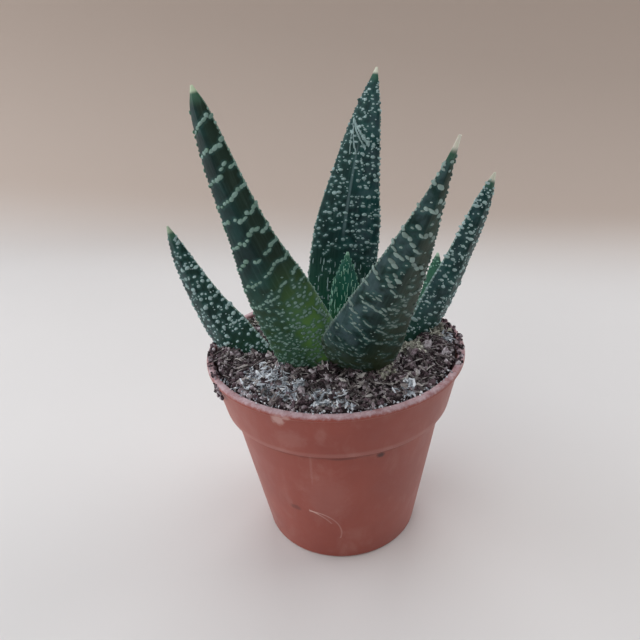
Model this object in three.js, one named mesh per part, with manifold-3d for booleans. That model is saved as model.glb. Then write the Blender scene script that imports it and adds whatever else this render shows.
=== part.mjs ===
/*
 * A young haworthia in a small plastic nursery pot.
 *
 * Millimetres, +Z up. The origin is the middle of the pot's underside, and -Y is the
 * front. Azimuths are measured from +X towards +Y, and rises from the horizontal.
 *
 * The pot is turned from one profile. Seven fleshy leaves stand round a short crown
 * with thick roots, each leaf swept along its own bending and twisting midline. Pale
 * warts stand out of the leaf skin, joined into cross bands on the banded leaves. The
 * soil fills the pot, with plain holes for the leaves, the crown and the roots.
 */
import * as THREE from 'three';
import { mergeVertices } from 'three/addons/utils/BufferGeometryUtils.js';
import Module from 'manifold-3d';

const wasm = await Module();
wasm.setup();

// ---------------------------------------------------------------- driving dimensions

const CLEARANCE = 0.3;
const ROOM_MARGIN = 0.1;
const AROUND_POT = 48;

const POT = {
  height: 44.6,
  rimRadius: 27.5,
  lipHeight: 1.4,
  lipOverhang: 0.8,
  lipRounding: 0.45,
  collarBottom: 33.3,
  collarBottomRadius: 24.6,
  bodyTopRadius: 23.2,
  baseRadius: 17.5,
  baseRounding: 0.5,
  wall: 0.9,
  stepSlope: 0.5,
  floorTop: 2.1,
  padRadius: 9.0,
  footInnerRadius: 14.6,
  recess: 1.2,
  recessSlope: 0.5,
  drainHoles: 6,
  drainDiameter: 3.6,
  drainSides: 12,
};

const SOIL = {
  level: 43.8,
  crumb: 0.6,
  edgeInset: 0.4,
  ringStep: 2.15,
  middleRadius: 1,
  seed: 5,
  // A low mound round the plant, and the heaps pushed up against its leaves.
  heaps: [
    { x: 0, y: 0, height: 1.5, spread: 17 },
    { x: 19, y: 2, height: 1.7, spread: 9 },
    { x: -20, y: -2, height: 1.7, spread: 8 },
    { x: -8, y: -10, height: 1.1, spread: 6 },
    { x: 3, y: 16, height: 0.9, spread: 10 },
  ],
};

const CROWN = {
  centre: [1.0, -0.2, 35.6],
  radius: 5.6,
  height: 5.4,
};

// Each root leaves the crown at an azimuth and dives to its own depth near the wall.
const ROOTS = [
  { azimuth: 20, reach: 12.5, depth: 11, thickness: 3.0 },
  { azimuth: 92, reach: 13.5, depth: 14, thickness: 2.6 },
  { azimuth: 165, reach: 12.0, depth: 9, thickness: 3.2 },
  { azimuth: 238, reach: 13.0, depth: 15, thickness: 2.7 },
  { azimuth: 305, reach: 11.0, depth: 7, thickness: 3.0 },
];
const ROOT = {
  startReach: 1.5,
  elbowShare: 0.45,
  diveShare: 0.85,
  endThinness: 0.4,
  endLength: 0.6,
  sides: 6,
  steps: 7,
};
const CROWN_SIDES = [14, 8];


/*
 * The leaves, innermost first. `rise`, `azimuth` and `twist` turn from the first value
 * at the base to the second at the tip, and the ease is the power by which they turn;
 * the twist turns the blade about its midline. `widths` are full widths at
 * WIDTH_STATIONS along the leaf, and `buried` is the length without warts in the soil.
 * A leaf with `bands` has its warts in cross bands. Their slopes at the base and the tip
 * are `tilt` from margin to margin and `vee` from the keel up to both margins, and below
 * the share `brokenBelow` of the leaf they break up into closer rows.
 */
const WIDTH_STATIONS = [0, 0.1, 0.25, 0.45, 0.65, 0.85, 0.95, 1];
const LEAVES = [
  {
    name: 'leaf_centre_young', base: [1.6, 0.7, 39.8], length: 24, buried: 5,
    azimuth: [82, 63], azimuthEase: 1, rise: [69, 76], riseEase: 1, twist: [14, 14],
    widths: [7.0, 7.5, 7.2, 6.5, 6.0, 3.3, 1.2], columns: [7, 6], seed: 11,
  },
  {
    name: 'leaf_back_tall', base: [1.0, 3.9, 36.8], length: 66.5, buried: 8,
    azimuth: [90, 39], azimuthEase: 0.9, rise: [63, 71], riseEase: 1.1, twist: [24, 24],
    widths: [15.5, 16.4, 15.7, 14.8, 10.8, 6.1, 2.4], columns: [9, 11], seed: 23,
  },
  {
    name: 'leaf_left_tall', base: [-0.7, -3.8, 36.6], length: 68, buried: 8,
    azimuth: [236, 184], azimuthEase: 1.5, rise: [59.5, 79.5], riseEase: 1.3, twist: [50, 50],
    widths: [14.1, 15.0, 13.4, 11.8, 7.7, 5.6, 3.6], columns: [11, 7], seed: 37,
    bands: { tilt: [0.24, 0.24], vee: [0, 0.35], brokenBelow: 0.45 },
  },
  {
    name: 'leaf_right_front', base: [2.9, -2.8, 39.0], length: 65, buried: 7,
    azimuth: [-85, -42], azimuthEase: 1, rise: [47.5, 69.5], riseEase: 1.5, twist: [-24, -24],
    widths: [14.5, 14.6, 14.7, 12.3, 8.5, 3.6, 1.3], columns: [11, 7], seed: 41,
    bands: { tilt: [-0.24, 0.1], vee: [0, 0.4], brokenBelow: 0.25 },
  },
  {
    name: 'leaf_right_narrow', base: [8.9, -0.6, 33.9], length: 51.7, buried: 12,
    azimuth: [17, 10], azimuthEase: 1.1, rise: [40.5, 70.5], riseEase: 0.5, twist: [-46, -79],
    widths: [12.6, 13.5, 13.3, 11.8, 7.6, 4.8, 2.2], columns: [10, 7], seed: 59,
  },
  {
    name: 'leaf_left_low', base: [-6.8, -2.6, 34.0], length: 47, buried: 13,
    azimuth: [177, 168], azimuthEase: 0.9, rise: [27, 74], riseEase: 0.6, twist: [60, 85],
    widths: [11.7, 12.4, 12.4, 12.0, 8.1, 4.5, 2.1], columns: [10, 7], seed: 67,
  },
  {
    name: 'leaf_right_small', base: [5.7, 2.5, 35.5], length: 33.5, buried: 13,
    azimuth: [16, 46], azimuthEase: 1.1, rise: [23, 83], riseEase: 1.2, twist: [7, 7],
    widths: [7.9, 8.5, 8.2, 6.5, 4.5, 3.6, 1.8], columns: [7, 5], seed: 73,
  },
];

const LEAF = {
  outerBulge: 0.42,
  innerBulge: 0.11,
  tipOuterBulge: 0.55,
  tipInnerBulge: 0.40,
  keel: 0.5,
  keelFrom: 0.1,
  keelFull: 0.55,
  rootLength: 3.5,
  tipLength: 2.4,
  tipWidth: 0.5,
  columnEvenness: 0.55,
  midlineSteps: 120,
  roomStride: 4,
};

const WART = {
  height: 0.55,
  fullHeightAbove: 3,
  lowest: 0.55,
  bandPitch: 3.8,
  bandHalfWidth: 0.6,
  bandNarrowing: 0.4,
  bandWave: 0.55,
  bandTurn: 2.4,
  bandFilled: 0.93,
  brokenPitch: 2.0,
  brokenFilled: 0.6,
  dotPitch: 1.6,
  dotScatter: 0.22,
  outerRows: [0.85, 0.12],
  innerRows: [0.9, 0],
  lastAt: 0.93,
};

// --------------------------------------------------------------------- small helpers

const radians = THREE.MathUtils.degToRad;
const lerp = THREE.MathUtils.lerp;
const clamp = THREE.MathUtils.clamp;

// A repeatable stream of numbers from 0 to 1.
function randomFrom(seed) {
  let state = seed;
  return () => {
    state = (state + 0x6d2b79f5) | 0;
    let mixed = Math.imul(state ^ (state >>> 15), 1 | state);
    mixed = (mixed + Math.imul(mixed ^ (mixed >>> 7), 61 | mixed)) ^ mixed;
    return ((mixed ^ (mixed >>> 14)) >>> 0) / 4294967296;
  };
}

// A smooth curve through the given values that never swings past them.
function smoothThrough(places, values) {
  const last = places.length - 1;
  const rises = places.slice(1).map((p, i) => (values[i + 1] - values[i]) / (p - places[i]));
  const slopes = values.map((_, i) => {
    if (i === 0) return rises[0];
    if (i === last) return rises[last - 1];
    if (rises[i - 1] * rises[i] <= 0) return 0;
    return (2 * rises[i - 1] * rises[i]) / (rises[i - 1] + rises[i]);
  });
  return (place) => {
    let i = 0;
    while (i < last - 1 && place > places[i + 1]) i += 1;
    const span = places[i + 1] - places[i];
    const u = clamp((place - places[i]) / span, 0, 1);
    const startShare = (1 + 2 * u) * (1 - u) * (1 - u);
    const endShare = u * u * (3 - 2 * u);
    const startPull = u * (1 - u) * (1 - u) * span;
    const endPull = u * u * (u - 1) * span;
    return values[i] * startShare + values[i + 1] * endShare
      + slopes[i] * startPull + slopes[i + 1] * endPull;
  };
}

/*
 * Joins a stack of equal rings, closed by a pole at each end, into one skin. The rings
 * run anticlockwise as seen from the last pole, so the skin faces out.
 */
function skinOfRings(firstPole, rings, lastPole) {
  const count = rings[0].length;
  const points = [firstPole, ...rings.flat(), lastPole];
  const endIndex = points.length - 1;
  const at = (ring, i) => 1 + ring * count + (i % count);
  const corners = [];
  for (let i = 0; i < count; i += 1) {
    corners.push(0, at(0, i + 1), at(0, i));
    corners.push(endIndex, at(rings.length - 1, i), at(rings.length - 1, i + 1));
  }
  for (let ring = 0; ring < rings.length - 1; ring += 1) {
    for (let i = 0; i < count; i += 1) {
      const low = [at(ring, i), at(ring, i + 1)];
      const high = [at(ring + 1, i), at(ring + 1, i + 1)];
      if ((ring + i) % 2 === 0) {
        corners.push(low[0], low[1], high[1], low[0], high[1], high[0]);
      } else {
        corners.push(low[0], low[1], high[0], low[1], high[1], high[0]);
      }
    }
  }
  const geometry = new THREE.BufferGeometry().setFromPoints(points);
  geometry.setIndex(corners);
  return geometry;
}

// Turns a closed geometry into a solid that can be joined and cut.
function toSolid(geometry) {
  const bare = geometry.clone();
  bare.deleteAttribute('normal');
  bare.deleteAttribute('uv');
  const merged = mergeVertices(bare, 1e-4);
  const corners = merged.index.array;
  const triangles = [];
  for (let i = 0; i < corners.length; i += 3) {
    const [a, b, c] = corners.slice(i, i + 3);
    // A turned profile closes on its axis with triangles of no area, which are left out.
    if (a !== b && b !== c && c !== a) triangles.push(a, b, c);
  }
  return new wasm.Manifold(new wasm.Mesh({
    numProp: 3,
    vertProperties: new Float32Array(merged.attributes.position.array),
    triVerts: new Uint32Array(triangles),
  }));
}

// Keeps the main body of a cut solid and lets the loose scraps go.
function mainBody(solid) {
  const bodies = solid.decompose();
  return bodies.reduce((largest, body) => (body.volume() > largest.volume() ? body : largest));
}

function toMesh(solid, name, material) {
  const cut = solid.getMesh();
  const geometry = new THREE.BufferGeometry();
  geometry.setAttribute('position', new THREE.BufferAttribute(cut.vertProperties, 3));
  geometry.setIndex(new THREE.BufferAttribute(cut.triVerts, 1));
  geometry.computeVertexNormals();
  const mesh = new THREE.Mesh(geometry, material);
  mesh.name = name;
  return mesh;
}

// ------------------------------------------------------------------------------- pot

// The inner wall of the pot, from the floor up to the lip, as radius and height.
const floorShare = POT.floorTop / POT.collarBottom;
const POT_INSIDE = [
  [lerp(POT.baseRadius, POT.bodyTopRadius, floorShare) - POT.wall, POT.floorTop],
  [POT.bodyTopRadius - POT.wall, POT.collarBottom + POT.wall],
  [POT.collarBottomRadius - POT.wall, POT.collarBottom + POT.wall + POT.stepSlope],
  [POT.rimRadius - POT.lipOverhang - POT.wall, POT.height - POT.lipHeight],
];

function potSolid() {
  const collarTopRadius = POT.rimRadius - POT.lipOverhang;
  const lipBottom = POT.height - POT.lipHeight;
  const lipInnerRadius = collarTopRadius - POT.wall + POT.lipRounding / 2;
  const profile = [
    // underside: a middle pad, a recessed ring for the drain holes and a foot ring
    [0, 0],
    [POT.padRadius, 0],
    [POT.padRadius + POT.recessSlope, POT.recess],
    [POT.footInnerRadius - POT.recessSlope, POT.recess],
    [POT.footInnerRadius, 0],
    [POT.baseRadius - POT.baseRounding, 0],
    [POT.baseRadius, POT.baseRounding],
    // tapering body, the step under the collar, the collar and the rounded lip
    [POT.bodyTopRadius, POT.collarBottom - POT.stepSlope / 2],
    [POT.collarBottomRadius, POT.collarBottom],
    [collarTopRadius, lipBottom],
    [POT.rimRadius, lipBottom + POT.lipRounding],
    [POT.rimRadius, POT.height - POT.lipRounding],
    [POT.rimRadius - POT.lipRounding, POT.height],
    [lipInnerRadius + POT.lipRounding, POT.height],
    [lipInnerRadius, POT.height - POT.lipRounding],
    ...POT_INSIDE.slice().reverse(),
    [0, POT.floorTop],
  ].map(([radius, height]) => new THREE.Vector2(radius, height));
  const shell = new THREE.LatheGeometry(profile, AROUND_POT);
  shell.rotateX(Math.PI / 2);
  let pot = toSolid(shell);
  const holeRing = (POT.padRadius + POT.footInnerRadius) / 2;
  for (let i = 0; i < POT.drainHoles; i += 1) {
    const angle = (i / POT.drainHoles) * 2 * Math.PI;
    const drill = new THREE.CylinderGeometry(POT.drainDiameter / 2, POT.drainDiameter / 2,
      2 * POT.floorTop, POT.drainSides);
    drill.rotateX(Math.PI / 2);
    drill.translate(holeRing * Math.cos(angle), holeRing * Math.sin(angle), POT.floorTop);
    pot = pot.subtract(toSolid(drill));
  }
  return pot;
}

// ---------------------------------------------------------------------------- leaves

// Follows a leaf's midline and gives its place, frame and half width at any distance.
function midline(leaf) {
  const steps = LEAF.midlineSteps;
  const headingAt = (share) => {
    const t = clamp(share, 0, 1);
    const twist = radians(lerp(leaf.twist[0], leaf.twist[1], t));
    const rise = radians(lerp(leaf.rise[0], leaf.rise[1], t ** leaf.riseEase));
    const turn = radians(lerp(leaf.azimuth[0], leaf.azimuth[1], t ** leaf.azimuthEase));
    const flat = new THREE.Vector3(Math.cos(turn), Math.sin(turn), 0);
    const along = flat.clone().multiplyScalar(Math.cos(rise));
    along.z = Math.sin(rise);
    const out = flat.clone().multiplyScalar(Math.sin(rise));
    out.z = -Math.cos(rise);
    const side = along.clone().cross(out);
    return {
      along,
      out: out.clone().multiplyScalar(Math.cos(twist)).addScaledVector(side, Math.sin(twist)),
      side: side.clone().multiplyScalar(Math.cos(twist)).addScaledVector(out, -Math.sin(twist)),
    };
  };
  const places = [new THREE.Vector3(...leaf.base)];
  for (let i = 1; i <= steps; i += 1) {
    const stride = headingAt((i - 0.5) / steps).along.multiplyScalar(leaf.length / steps);
    places.push(places[i - 1].clone().add(stride));
  }
  const widthAt = smoothThrough(WIDTH_STATIONS, [...leaf.widths, LEAF.tipWidth]);
  return (distance) => {
    const share = distance / leaf.length;
    const heading = headingAt(share);
    const place = clamp(share, 0, 1) * steps;
    const step = Math.min(Math.floor(place), steps - 1);
    const centre = places[step].clone().lerp(places[step + 1], place - step);
    centre.addScaledVector(heading.along, Math.min(distance, 0));
    centre.addScaledVector(heading.along, Math.max(distance - leaf.length, 0));
    return { centre, ...heading, share, halfWidth: widthAt(clamp(share, 0, 1)) / 2 };
  };
}

/*
 * The columns of skin points round a leaf: over the outer face from one margin to the
 * other, and back over the inner face.
 */
function skinColumns([outerCount, innerCount]) {
  const spread = (u) => lerp(Math.sin((u * Math.PI) / 2), u, LEAF.columnEvenness);
  const columns = [];
  for (let i = 0; i < outerCount; i += 1) {
    columns.push({ across: spread(-1 + (2 * i) / outerCount), outer: true, margin: i === 0 });
  }
  for (let i = 0; i < innerCount; i += 1) {
    columns.push({ across: spread(1 - (2 * i) / innerCount), outer: false, margin: i === 0 });
  }
  return columns;
}

/*
 * A point of the leaf skin, moved out of it by `lift`. The inner face is a flat arch. The
 * outer face is a rounder one, drawn in at its flanks towards a keel up the leaf.
 */
function skinPoint(frame, column, lift) {
  const towardsTip = clamp(frame.share, 0, 1) ** 3;
  const bulge = column.outer
    ? lerp(LEAF.outerBulge, LEAF.tipOuterBulge, towardsTip)
    : lerp(LEAF.innerBulge, LEAF.tipInnerBulge, towardsTip);
  const keel = column.outer
    ? LEAF.keel * THREE.MathUtils.smoothstep(frame.share, LEAF.keelFrom, LEAF.keelFull)
    : 0;
  const x = column.across;
  const arch = Math.sqrt(Math.max(1e-6, 1 - x * x));
  const y = bulge * lerp(arch, 1 - Math.abs(x), keel);
  const lean = bulge * lerp(x / arch, Math.sign(x), keel);
  const facing = new THREE.Vector2(lean, 1).normalize();
  const outward = column.outer ? 1 : -1;
  return frame.centre.clone()
    .addScaledVector(frame.side, frame.halfWidth * x + lift * facing.x)
    .addScaledVector(frame.out, outward * (frame.halfWidth * y + lift * facing.y));
}

// The lift of one wart, from the lowest up to the full height.
function wartLift(random) {
  return WART.height * lerp(WART.lowest, 1, random());
}

/*
 * Banded leaves: each cross band is a row of warts with bare skin above and below it. It
 * slants across the leaf and waves, and each band's wave is turned on from the last one's.
 */
function bandedStations(leaf, columns, random, frameAt) {
  const { tilt, vee, brokenBelow } = leaf.bands;
  const stations = [];
  let middle = leaf.buried;
  let row = 0;
  while (middle < leaf.length * WART.lastAt) {
    const share = middle / leaf.length;
    const broken = share < brokenBelow;
    const { halfWidth } = frameAt(middle);
    const wave = columns.map(({ across }) => (
      halfWidth * (lerp(...tilt, share) * across + lerp(...vee, share) * Math.abs(across))
      + WART.bandWave * (1 - share) * Math.sin(across * Math.PI + row * WART.bandTurn)));
    const filled = broken ? WART.brokenFilled : WART.bandFilled;
    const lifts = columns.map((column, i) => {
      const dot = (column.outer && !broken) || (i + row) % 2 === 0;
      return dot && random() < filled ? wartLift(random) : 0;
    });
    const bare = columns.map(() => 0);
    const half = WART.bandHalfWidth * (1 - WART.bandNarrowing * share);
    stations.push({ distance: middle - half, wave, lifts: bare });
    stations.push({ distance: middle, wave, lifts });
    stations.push({ distance: middle + half, wave, lifts: bare });
    middle += broken ? WART.brokenPitch : WART.bandPitch;
    row += 1;
  }
  return stations;
}

// Dotted leaves: warts on every other point, with every second row fuller outside.
function dottedStations(leaf, columns, random) {
  const stations = [];
  let row = 0;
  for (let middle = leaf.buried; middle < leaf.length * WART.lastAt; middle += WART.dotPitch) {
    const wave = columns.map(() => WART.dotScatter * (2 * random() - 1));
    const lifts = columns.map((column, i) => {
      const inRows = column.outer || column.margin;
      const filled = inRows ? WART.outerRows[row % 2] : WART.innerRows[(row + i) % 2];
      return random() < filled ? wartLift(random) : 0;
    });
    stations.push({ distance: middle, wave, lifts });
    row += 1;
  }
  return stations;
}

function leafSolid(leaf) {
  const random = randomFrom(leaf.seed);
  const columns = skinColumns(leaf.columns);
  const frameAt = midline(leaf);
  const plain = (distance) => ({
    distance, wave: columns.map(() => 0), lifts: columns.map(() => 0),
  });
  const makeStations = leaf.bands ? bandedStations : dottedStations;
  const stations = [
    plain(-LEAF.rootLength),
    plain(leaf.buried / 3),
    plain((leaf.buried * 2) / 3),
    ...makeStations(leaf, columns, random, frameAt),
    plain(leaf.length - LEAF.tipLength),
    plain(leaf.length - LEAF.tipLength / 3),
  ];
  const rings = stations.map(({ distance, wave, lifts }) => {
    const thinning = Math.min(1, frameAt(distance).halfWidth / WART.fullHeightAbove);
    return columns.map((column, i) => (
      skinPoint(frameAt(distance + wave[i]), column, lifts[i] * thinning)));
  });
  const start = frameAt(-LEAF.rootLength).centre;
  const tip = frameAt(leaf.length + LEAF.tipWidth / 2).centre;
  return toSolid(skinOfRings(start, rings, tip));
}

// The room that a leaf takes, with the clearance round it and, above ground, its warts.
function leafRoom(leaf) {
  const columns = skinColumns(leaf.columns);
  const frameAt = midline(leaf);
  const belowGround = CLEARANCE + ROOM_MARGIN;
  const aboveGround = belowGround + WART.height;
  const start = -LEAF.rootLength - belowGround;
  const steps = Math.ceil(leaf.length / LEAF.roomStride);
  const stride = (leaf.length - start) / steps;
  const rings = [];
  for (let i = 0; i <= steps; i += 1) {
    const distance = start + i * stride;
    const margin = distance < leaf.buried - stride ? belowGround : aboveGround;
    rings.push(columns.map((column) => skinPoint(frameAt(distance), column, margin)));
  }
  const tip = frameAt(leaf.length + 2 * aboveGround).centre;
  return toSolid(skinOfRings(frameAt(start).centre, rings, tip));
}

// -------------------------------------------------------------------- crown and roots

// The crown and its roots, grown by `room` on every side when it is cut from the others.
function crownSolid(room) {
  const ball = new THREE.SphereGeometry(1, ...CROWN_SIDES);
  ball.rotateX(Math.PI / 2);
  ball.scale(CROWN.radius + room, CROWN.radius + room, CROWN.height + room);
  ball.translate(...CROWN.centre);
  return ROOTS.reduce((crown, root) => crown.add(rootSolid(root, room)), toSolid(ball));
}

function rootSolid(root, room) {
  const [x, y, z] = CROWN.centre;
  const turn = radians(root.azimuth);
  const out = new THREE.Vector3(Math.cos(turn), Math.sin(turn), 0);
  const station = (reach, height) => new THREE.Vector3(x, y, height).addScaledVector(out, reach);
  const path = new THREE.CatmullRomCurve3([
    station(ROOT.startReach, z),
    station(root.reach * ROOT.elbowShare, z - CROWN.height),
    station(root.reach * ROOT.diveShare, lerp(root.depth, z, 0.5)),
    station(root.reach, root.depth),
  ]);
  const frames = path.computeFrenetFrames(ROOT.steps);
  const rings = [];
  for (let i = 0; i <= ROOT.steps; i += 1) {
    const share = i / ROOT.steps;
    const radius = (root.thickness / 2) * lerp(1, ROOT.endThinness, share) + room;
    const centre = path.getPointAt(share);
    rings.push(Array.from({ length: ROOT.sides }, (_, side) => {
      const angle = (side / ROOT.sides) * 2 * Math.PI;
      return centre.clone()
        .addScaledVector(frames.normals[i], radius * Math.cos(angle))
        .addScaledVector(frames.binormals[i], radius * Math.sin(angle));
    }));
  }
  const end = path.getPointAt(1)
    .addScaledVector(frames.tangents[ROOT.steps], ROOT.endLength + room);
  return toSolid(skinOfRings(path.getPointAt(0), rings, end));
}

// ------------------------------------------------------------------------------ soil

function soilSolid() {
  const random = randomFrom(SOIL.seed);
  const ringAt = (radius, heightAt) => Array.from({ length: AROUND_POT }, (_, i) => {
    const angle = (i / AROUND_POT) * 2 * Math.PI;
    const x = radius * Math.cos(angle);
    const y = radius * Math.sin(angle);
    return new THREE.Vector3(x, y, heightAt(x, y));
  });
  const crumbledTop = (x, y) => {
    const heaped = SOIL.heaps.reduce((sum, heap) => {
      const away = Math.hypot(x - heap.x, y - heap.y) / heap.spread;
      return sum + heap.height * Math.exp(-away * away);
    }, SOIL.level);
    return heaped + SOIL.crumb * (2 * random() - 1);
  };
  const floor = POT.floorTop + CLEARANCE;
  const [, ...wallAbove] = POT_INSIDE;
  const [topRadius] = wallAbove.pop();
  const rings = [
    ringAt(POT_INSIDE[0][0] - CLEARANCE, () => floor),
    ...wallAbove.map(([radius, height]) => ringAt(radius - CLEARANCE, () => height)),
  ];
  let radius = topRadius - CLEARANCE - SOIL.edgeInset;
  while (radius > SOIL.middleRadius) {
    rings.push(ringAt(radius, crumbledTop));
    radius -= SOIL.ringStep;
  }
  const bottom = new THREE.Vector3(0, 0, floor);
  const middle = new THREE.Vector3(0, 0, crumbledTop(0, 0));
  return toSolid(skinOfRings(bottom, rings, middle));
}

// -------------------------------------------------------------------------- assembly

const potPlastic = new THREE.MeshStandardMaterial({ color: 0x9a5f54, roughness: 0.62 });
const peat = new THREE.MeshStandardMaterial({ color: 0x4a3b38, roughness: 1.0 });
const rootFlesh = new THREE.MeshStandardMaterial({ color: 0xcfc3a0, roughness: 0.8 });
const leafColours = {
  leaf_centre_young: 0x2f6a55,
  leaf_back_tall: 0x1f4a42,
  leaf_left_tall: 0x2b4a38,
  leaf_right_front: 0x3a4f40,
  leaf_right_narrow: 0x24584c,
  leaf_left_low: 0x264a3a,
  leaf_right_small: 0x3c7a4a,
};

const crownRoom = crownSolid(CLEARANCE);
let soil = soilSolid().subtract(crownRoom);
let taken = crownRoom;
const leafMeshes = LEAVES.map((leaf) => {
  const body = mainBody(leafSolid(leaf).subtract(taken));
  const room = leafRoom(leaf);
  soil = soil.subtract(room);
  taken = taken.add(room);
  const skin = new THREE.MeshStandardMaterial({ color: leafColours[leaf.name], roughness: 0.5 });
  return toMesh(body, leaf.name, skin);
});

const group = new THREE.Group();
group.name = 'potted_haworthia';
group.add(
  toMesh(potSolid(), 'pot', potPlastic),
  toMesh(mainBody(soil), 'soil', peat),
  toMesh(crownSolid(0), 'crown_and_roots', rootFlesh),
  ...leafMeshes,
);

export default group;
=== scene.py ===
"""A young haworthia in a small plastic nursery pot: the fine form and the finish of each piece.

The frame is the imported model's: metres, +Z up, the origin in the middle of the pot's underside,
and -Y the front. Sizes are written in millimetres and turned to metres with MM. Azimuths are
measured from +X towards +Y, and rises from the horizontal.
"""
import math
import random

import bpy
from mathutils import Matrix, Vector, noise


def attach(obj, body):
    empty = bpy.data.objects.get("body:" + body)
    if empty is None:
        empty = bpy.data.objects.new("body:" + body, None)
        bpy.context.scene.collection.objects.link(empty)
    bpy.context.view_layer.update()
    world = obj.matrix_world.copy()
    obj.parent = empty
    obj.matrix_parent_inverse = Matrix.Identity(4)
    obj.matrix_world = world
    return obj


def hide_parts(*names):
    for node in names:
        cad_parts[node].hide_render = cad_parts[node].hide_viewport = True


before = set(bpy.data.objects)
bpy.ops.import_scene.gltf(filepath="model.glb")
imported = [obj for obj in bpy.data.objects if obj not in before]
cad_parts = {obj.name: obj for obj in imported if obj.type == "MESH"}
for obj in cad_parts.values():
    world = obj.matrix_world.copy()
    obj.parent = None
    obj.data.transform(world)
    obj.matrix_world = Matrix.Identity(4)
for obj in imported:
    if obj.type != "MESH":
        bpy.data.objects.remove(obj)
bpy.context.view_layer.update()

MM = 0.001
UP = Vector((0, 0, 1))

# ------------------------------------------------------------------------ sizes, in millimetres

POT = {
    "height": 44.6, "rim_radius": 27.5, "lip_height": 1.4, "lip_overhang": 0.8, "lip_rounding": 0.45,
    "lip_slope": 0.25, "lip_inner_slope": 0.2, "lip_inner_draw": 0.1, "collar_bottom": 33.3,
    "collar_bottom_radius": 24.6, "body_top_radius": 23.2, "base_radius": 17.5, "base_draw": 0.1,
    "base_edge": 1.4, "wall": 0.9, "step_slope": 0.5, "floor_top": 2.1, "pad_radius": 9.0,
    "foot_inner_radius": 14.6, "recess": 1.2, "recess_slope": 0.5, "drain_holes": 6,
    "drain_diameter": 3.6, "segments": 180, "fillet_steps": 4, "out_of_round": 0.08, "oval_turn": 0.6,
}

# The soil's top is two sizes of unevenness on a low mound and some heaps.
SOIL = {
    "level": 43.8, "clearance": 0.3, "edge_inset": 0.15, "rings": 84, "segments": 260,
    "clod_size": 2.9, "clod_height": 1.0, "clod_seed": 3,
    "crumb_size": 1.0, "crumb_height": 0.5, "crumb_seed": 8,
    "tone": (0.12, 0.3), "tone_size": 2.4, "tone_seed": 31,
}
# The mound round the plant, and the heaps pushed up against its leaves: place, height and spread.
HEAPS = (
    ((0, 0), 1.5, 17), ((19, 2), 1.7, 9), ((-20, -2), 1.7, 8), ((-8, -10), 1.1, 6), ((3, 16), 0.9, 10),
)
# Where pale mineral dust and tan fibrous clods lie on the soil: place and radius.
MINERAL_PATCHES = (
    ((-14, -14.5), 4.2), ((-8.2, -9.4), 1.5), ((-9.5, -18), 3.4), ((-2.5, -21), 3.2),
    ((1, -24.6), 1.8), ((13, -22.6), 2.2), ((14, -18), 1.8), ((24, -1.6), 1.1),
)
TAN_PATCHES = (((15.5, -5), 3.0), ((21.5, 2), 3.2), ((10, -13), 2.0), ((17, 12), 3.5), ((-21, 9), 3.0))
PATCH = {"edge": 1.15, "fade": 0.5, "ragged": 0.35, "ragged_size": 1.8, "seed": 21}

# The leaves' midlines, full widths and seeds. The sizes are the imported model's own. A pair runs from
# the leaf's foot to its tip, and the ease after it says how soon it turns from one to the other.
WIDTH_STATIONS = (0, 0.1, 0.25, 0.45, 0.65, 0.85, 0.95, 1)
LEAF_KEYS = ("base", "length", "buried", "azimuth", "azimuth_ease", "rise", "rise_ease", "twist",
             "widths", "seed")
LEAVES = {name: dict(zip(LEAF_KEYS, row)) for name, *row in (
    ("leaf_centre_young", (1.6, 0.7, 39.8), 24, 5, (82, 63), 1, (69, 76), 1, (14, 14),
     (7.0, 7.5, 7.2, 6.5, 6.0, 3.3, 1.2), 11),
    ("leaf_back_tall", (1.0, 3.9, 36.8), 66.5, 8, (90, 39), 0.9, (63, 71), 1.1, (24, 24),
     (15.5, 16.4, 15.7, 14.8, 10.8, 6.1, 2.4), 23),
    ("leaf_left_tall", (-0.7, -3.8, 36.6), 68, 8, (236, 184), 1.5, (59.5, 79.5), 1.3, (50, 50),
     (14.1, 15.0, 13.4, 11.8, 7.7, 5.6, 3.6), 37),
    ("leaf_right_front", (2.9, -2.8, 39.0), 65, 7, (-85, -42), 1, (47.5, 69.5), 1.5, (-24, -24),
     (14.5, 14.6, 14.7, 12.3, 8.5, 3.6, 1.3), 41),
    ("leaf_right_narrow", (8.9, -0.6, 33.9), 51.7, 12, (17, 10), 1.1, (40.5, 70.5), 0.5, (-46, -79),
     (12.6, 13.5, 13.3, 11.8, 7.6, 4.8, 2.2), 59),
    ("leaf_left_low", (-6.8, -2.6, 34.0), 47, 13, (177, 168), 0.9, (27, 74), 0.6, (60, 85),
     (11.7, 12.4, 12.4, 12.0, 8.1, 4.5, 2.1), 67),
    ("leaf_right_small", (5.7, 2.5, 35.5), 33.5, 13, (16, 46), 1.1, (23, 83), 1.2, (7, 7),
     (7.9, 8.5, 8.2, 6.5, 4.5, 3.6, 1.8), 73),
)}
LEAF = {
    "root_length": 3.5, "tip_width": 0.5, "midline_steps": 120, "columns": 64, "ring_step": 0.32,
    "uneven": 0.05, "uneven_size": 2.2, "knock": 0.36, "knock_size": 0.8, "large_wart": 0.24,
}
# A leaf's section, as shares of its half width or of its length: an arch on each face, rounder at
# the tip, and a keel that grows on the outer one.
SECTION = {
    "outer_bulge": 0.42, "tip_outer_bulge": 0.55, "inner_bulge": 0.11, "tip_inner_bulge": 0.40,
    "keel": 0.5, "keel_from": 0.1, "keel_full": 0.55,
}

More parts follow.
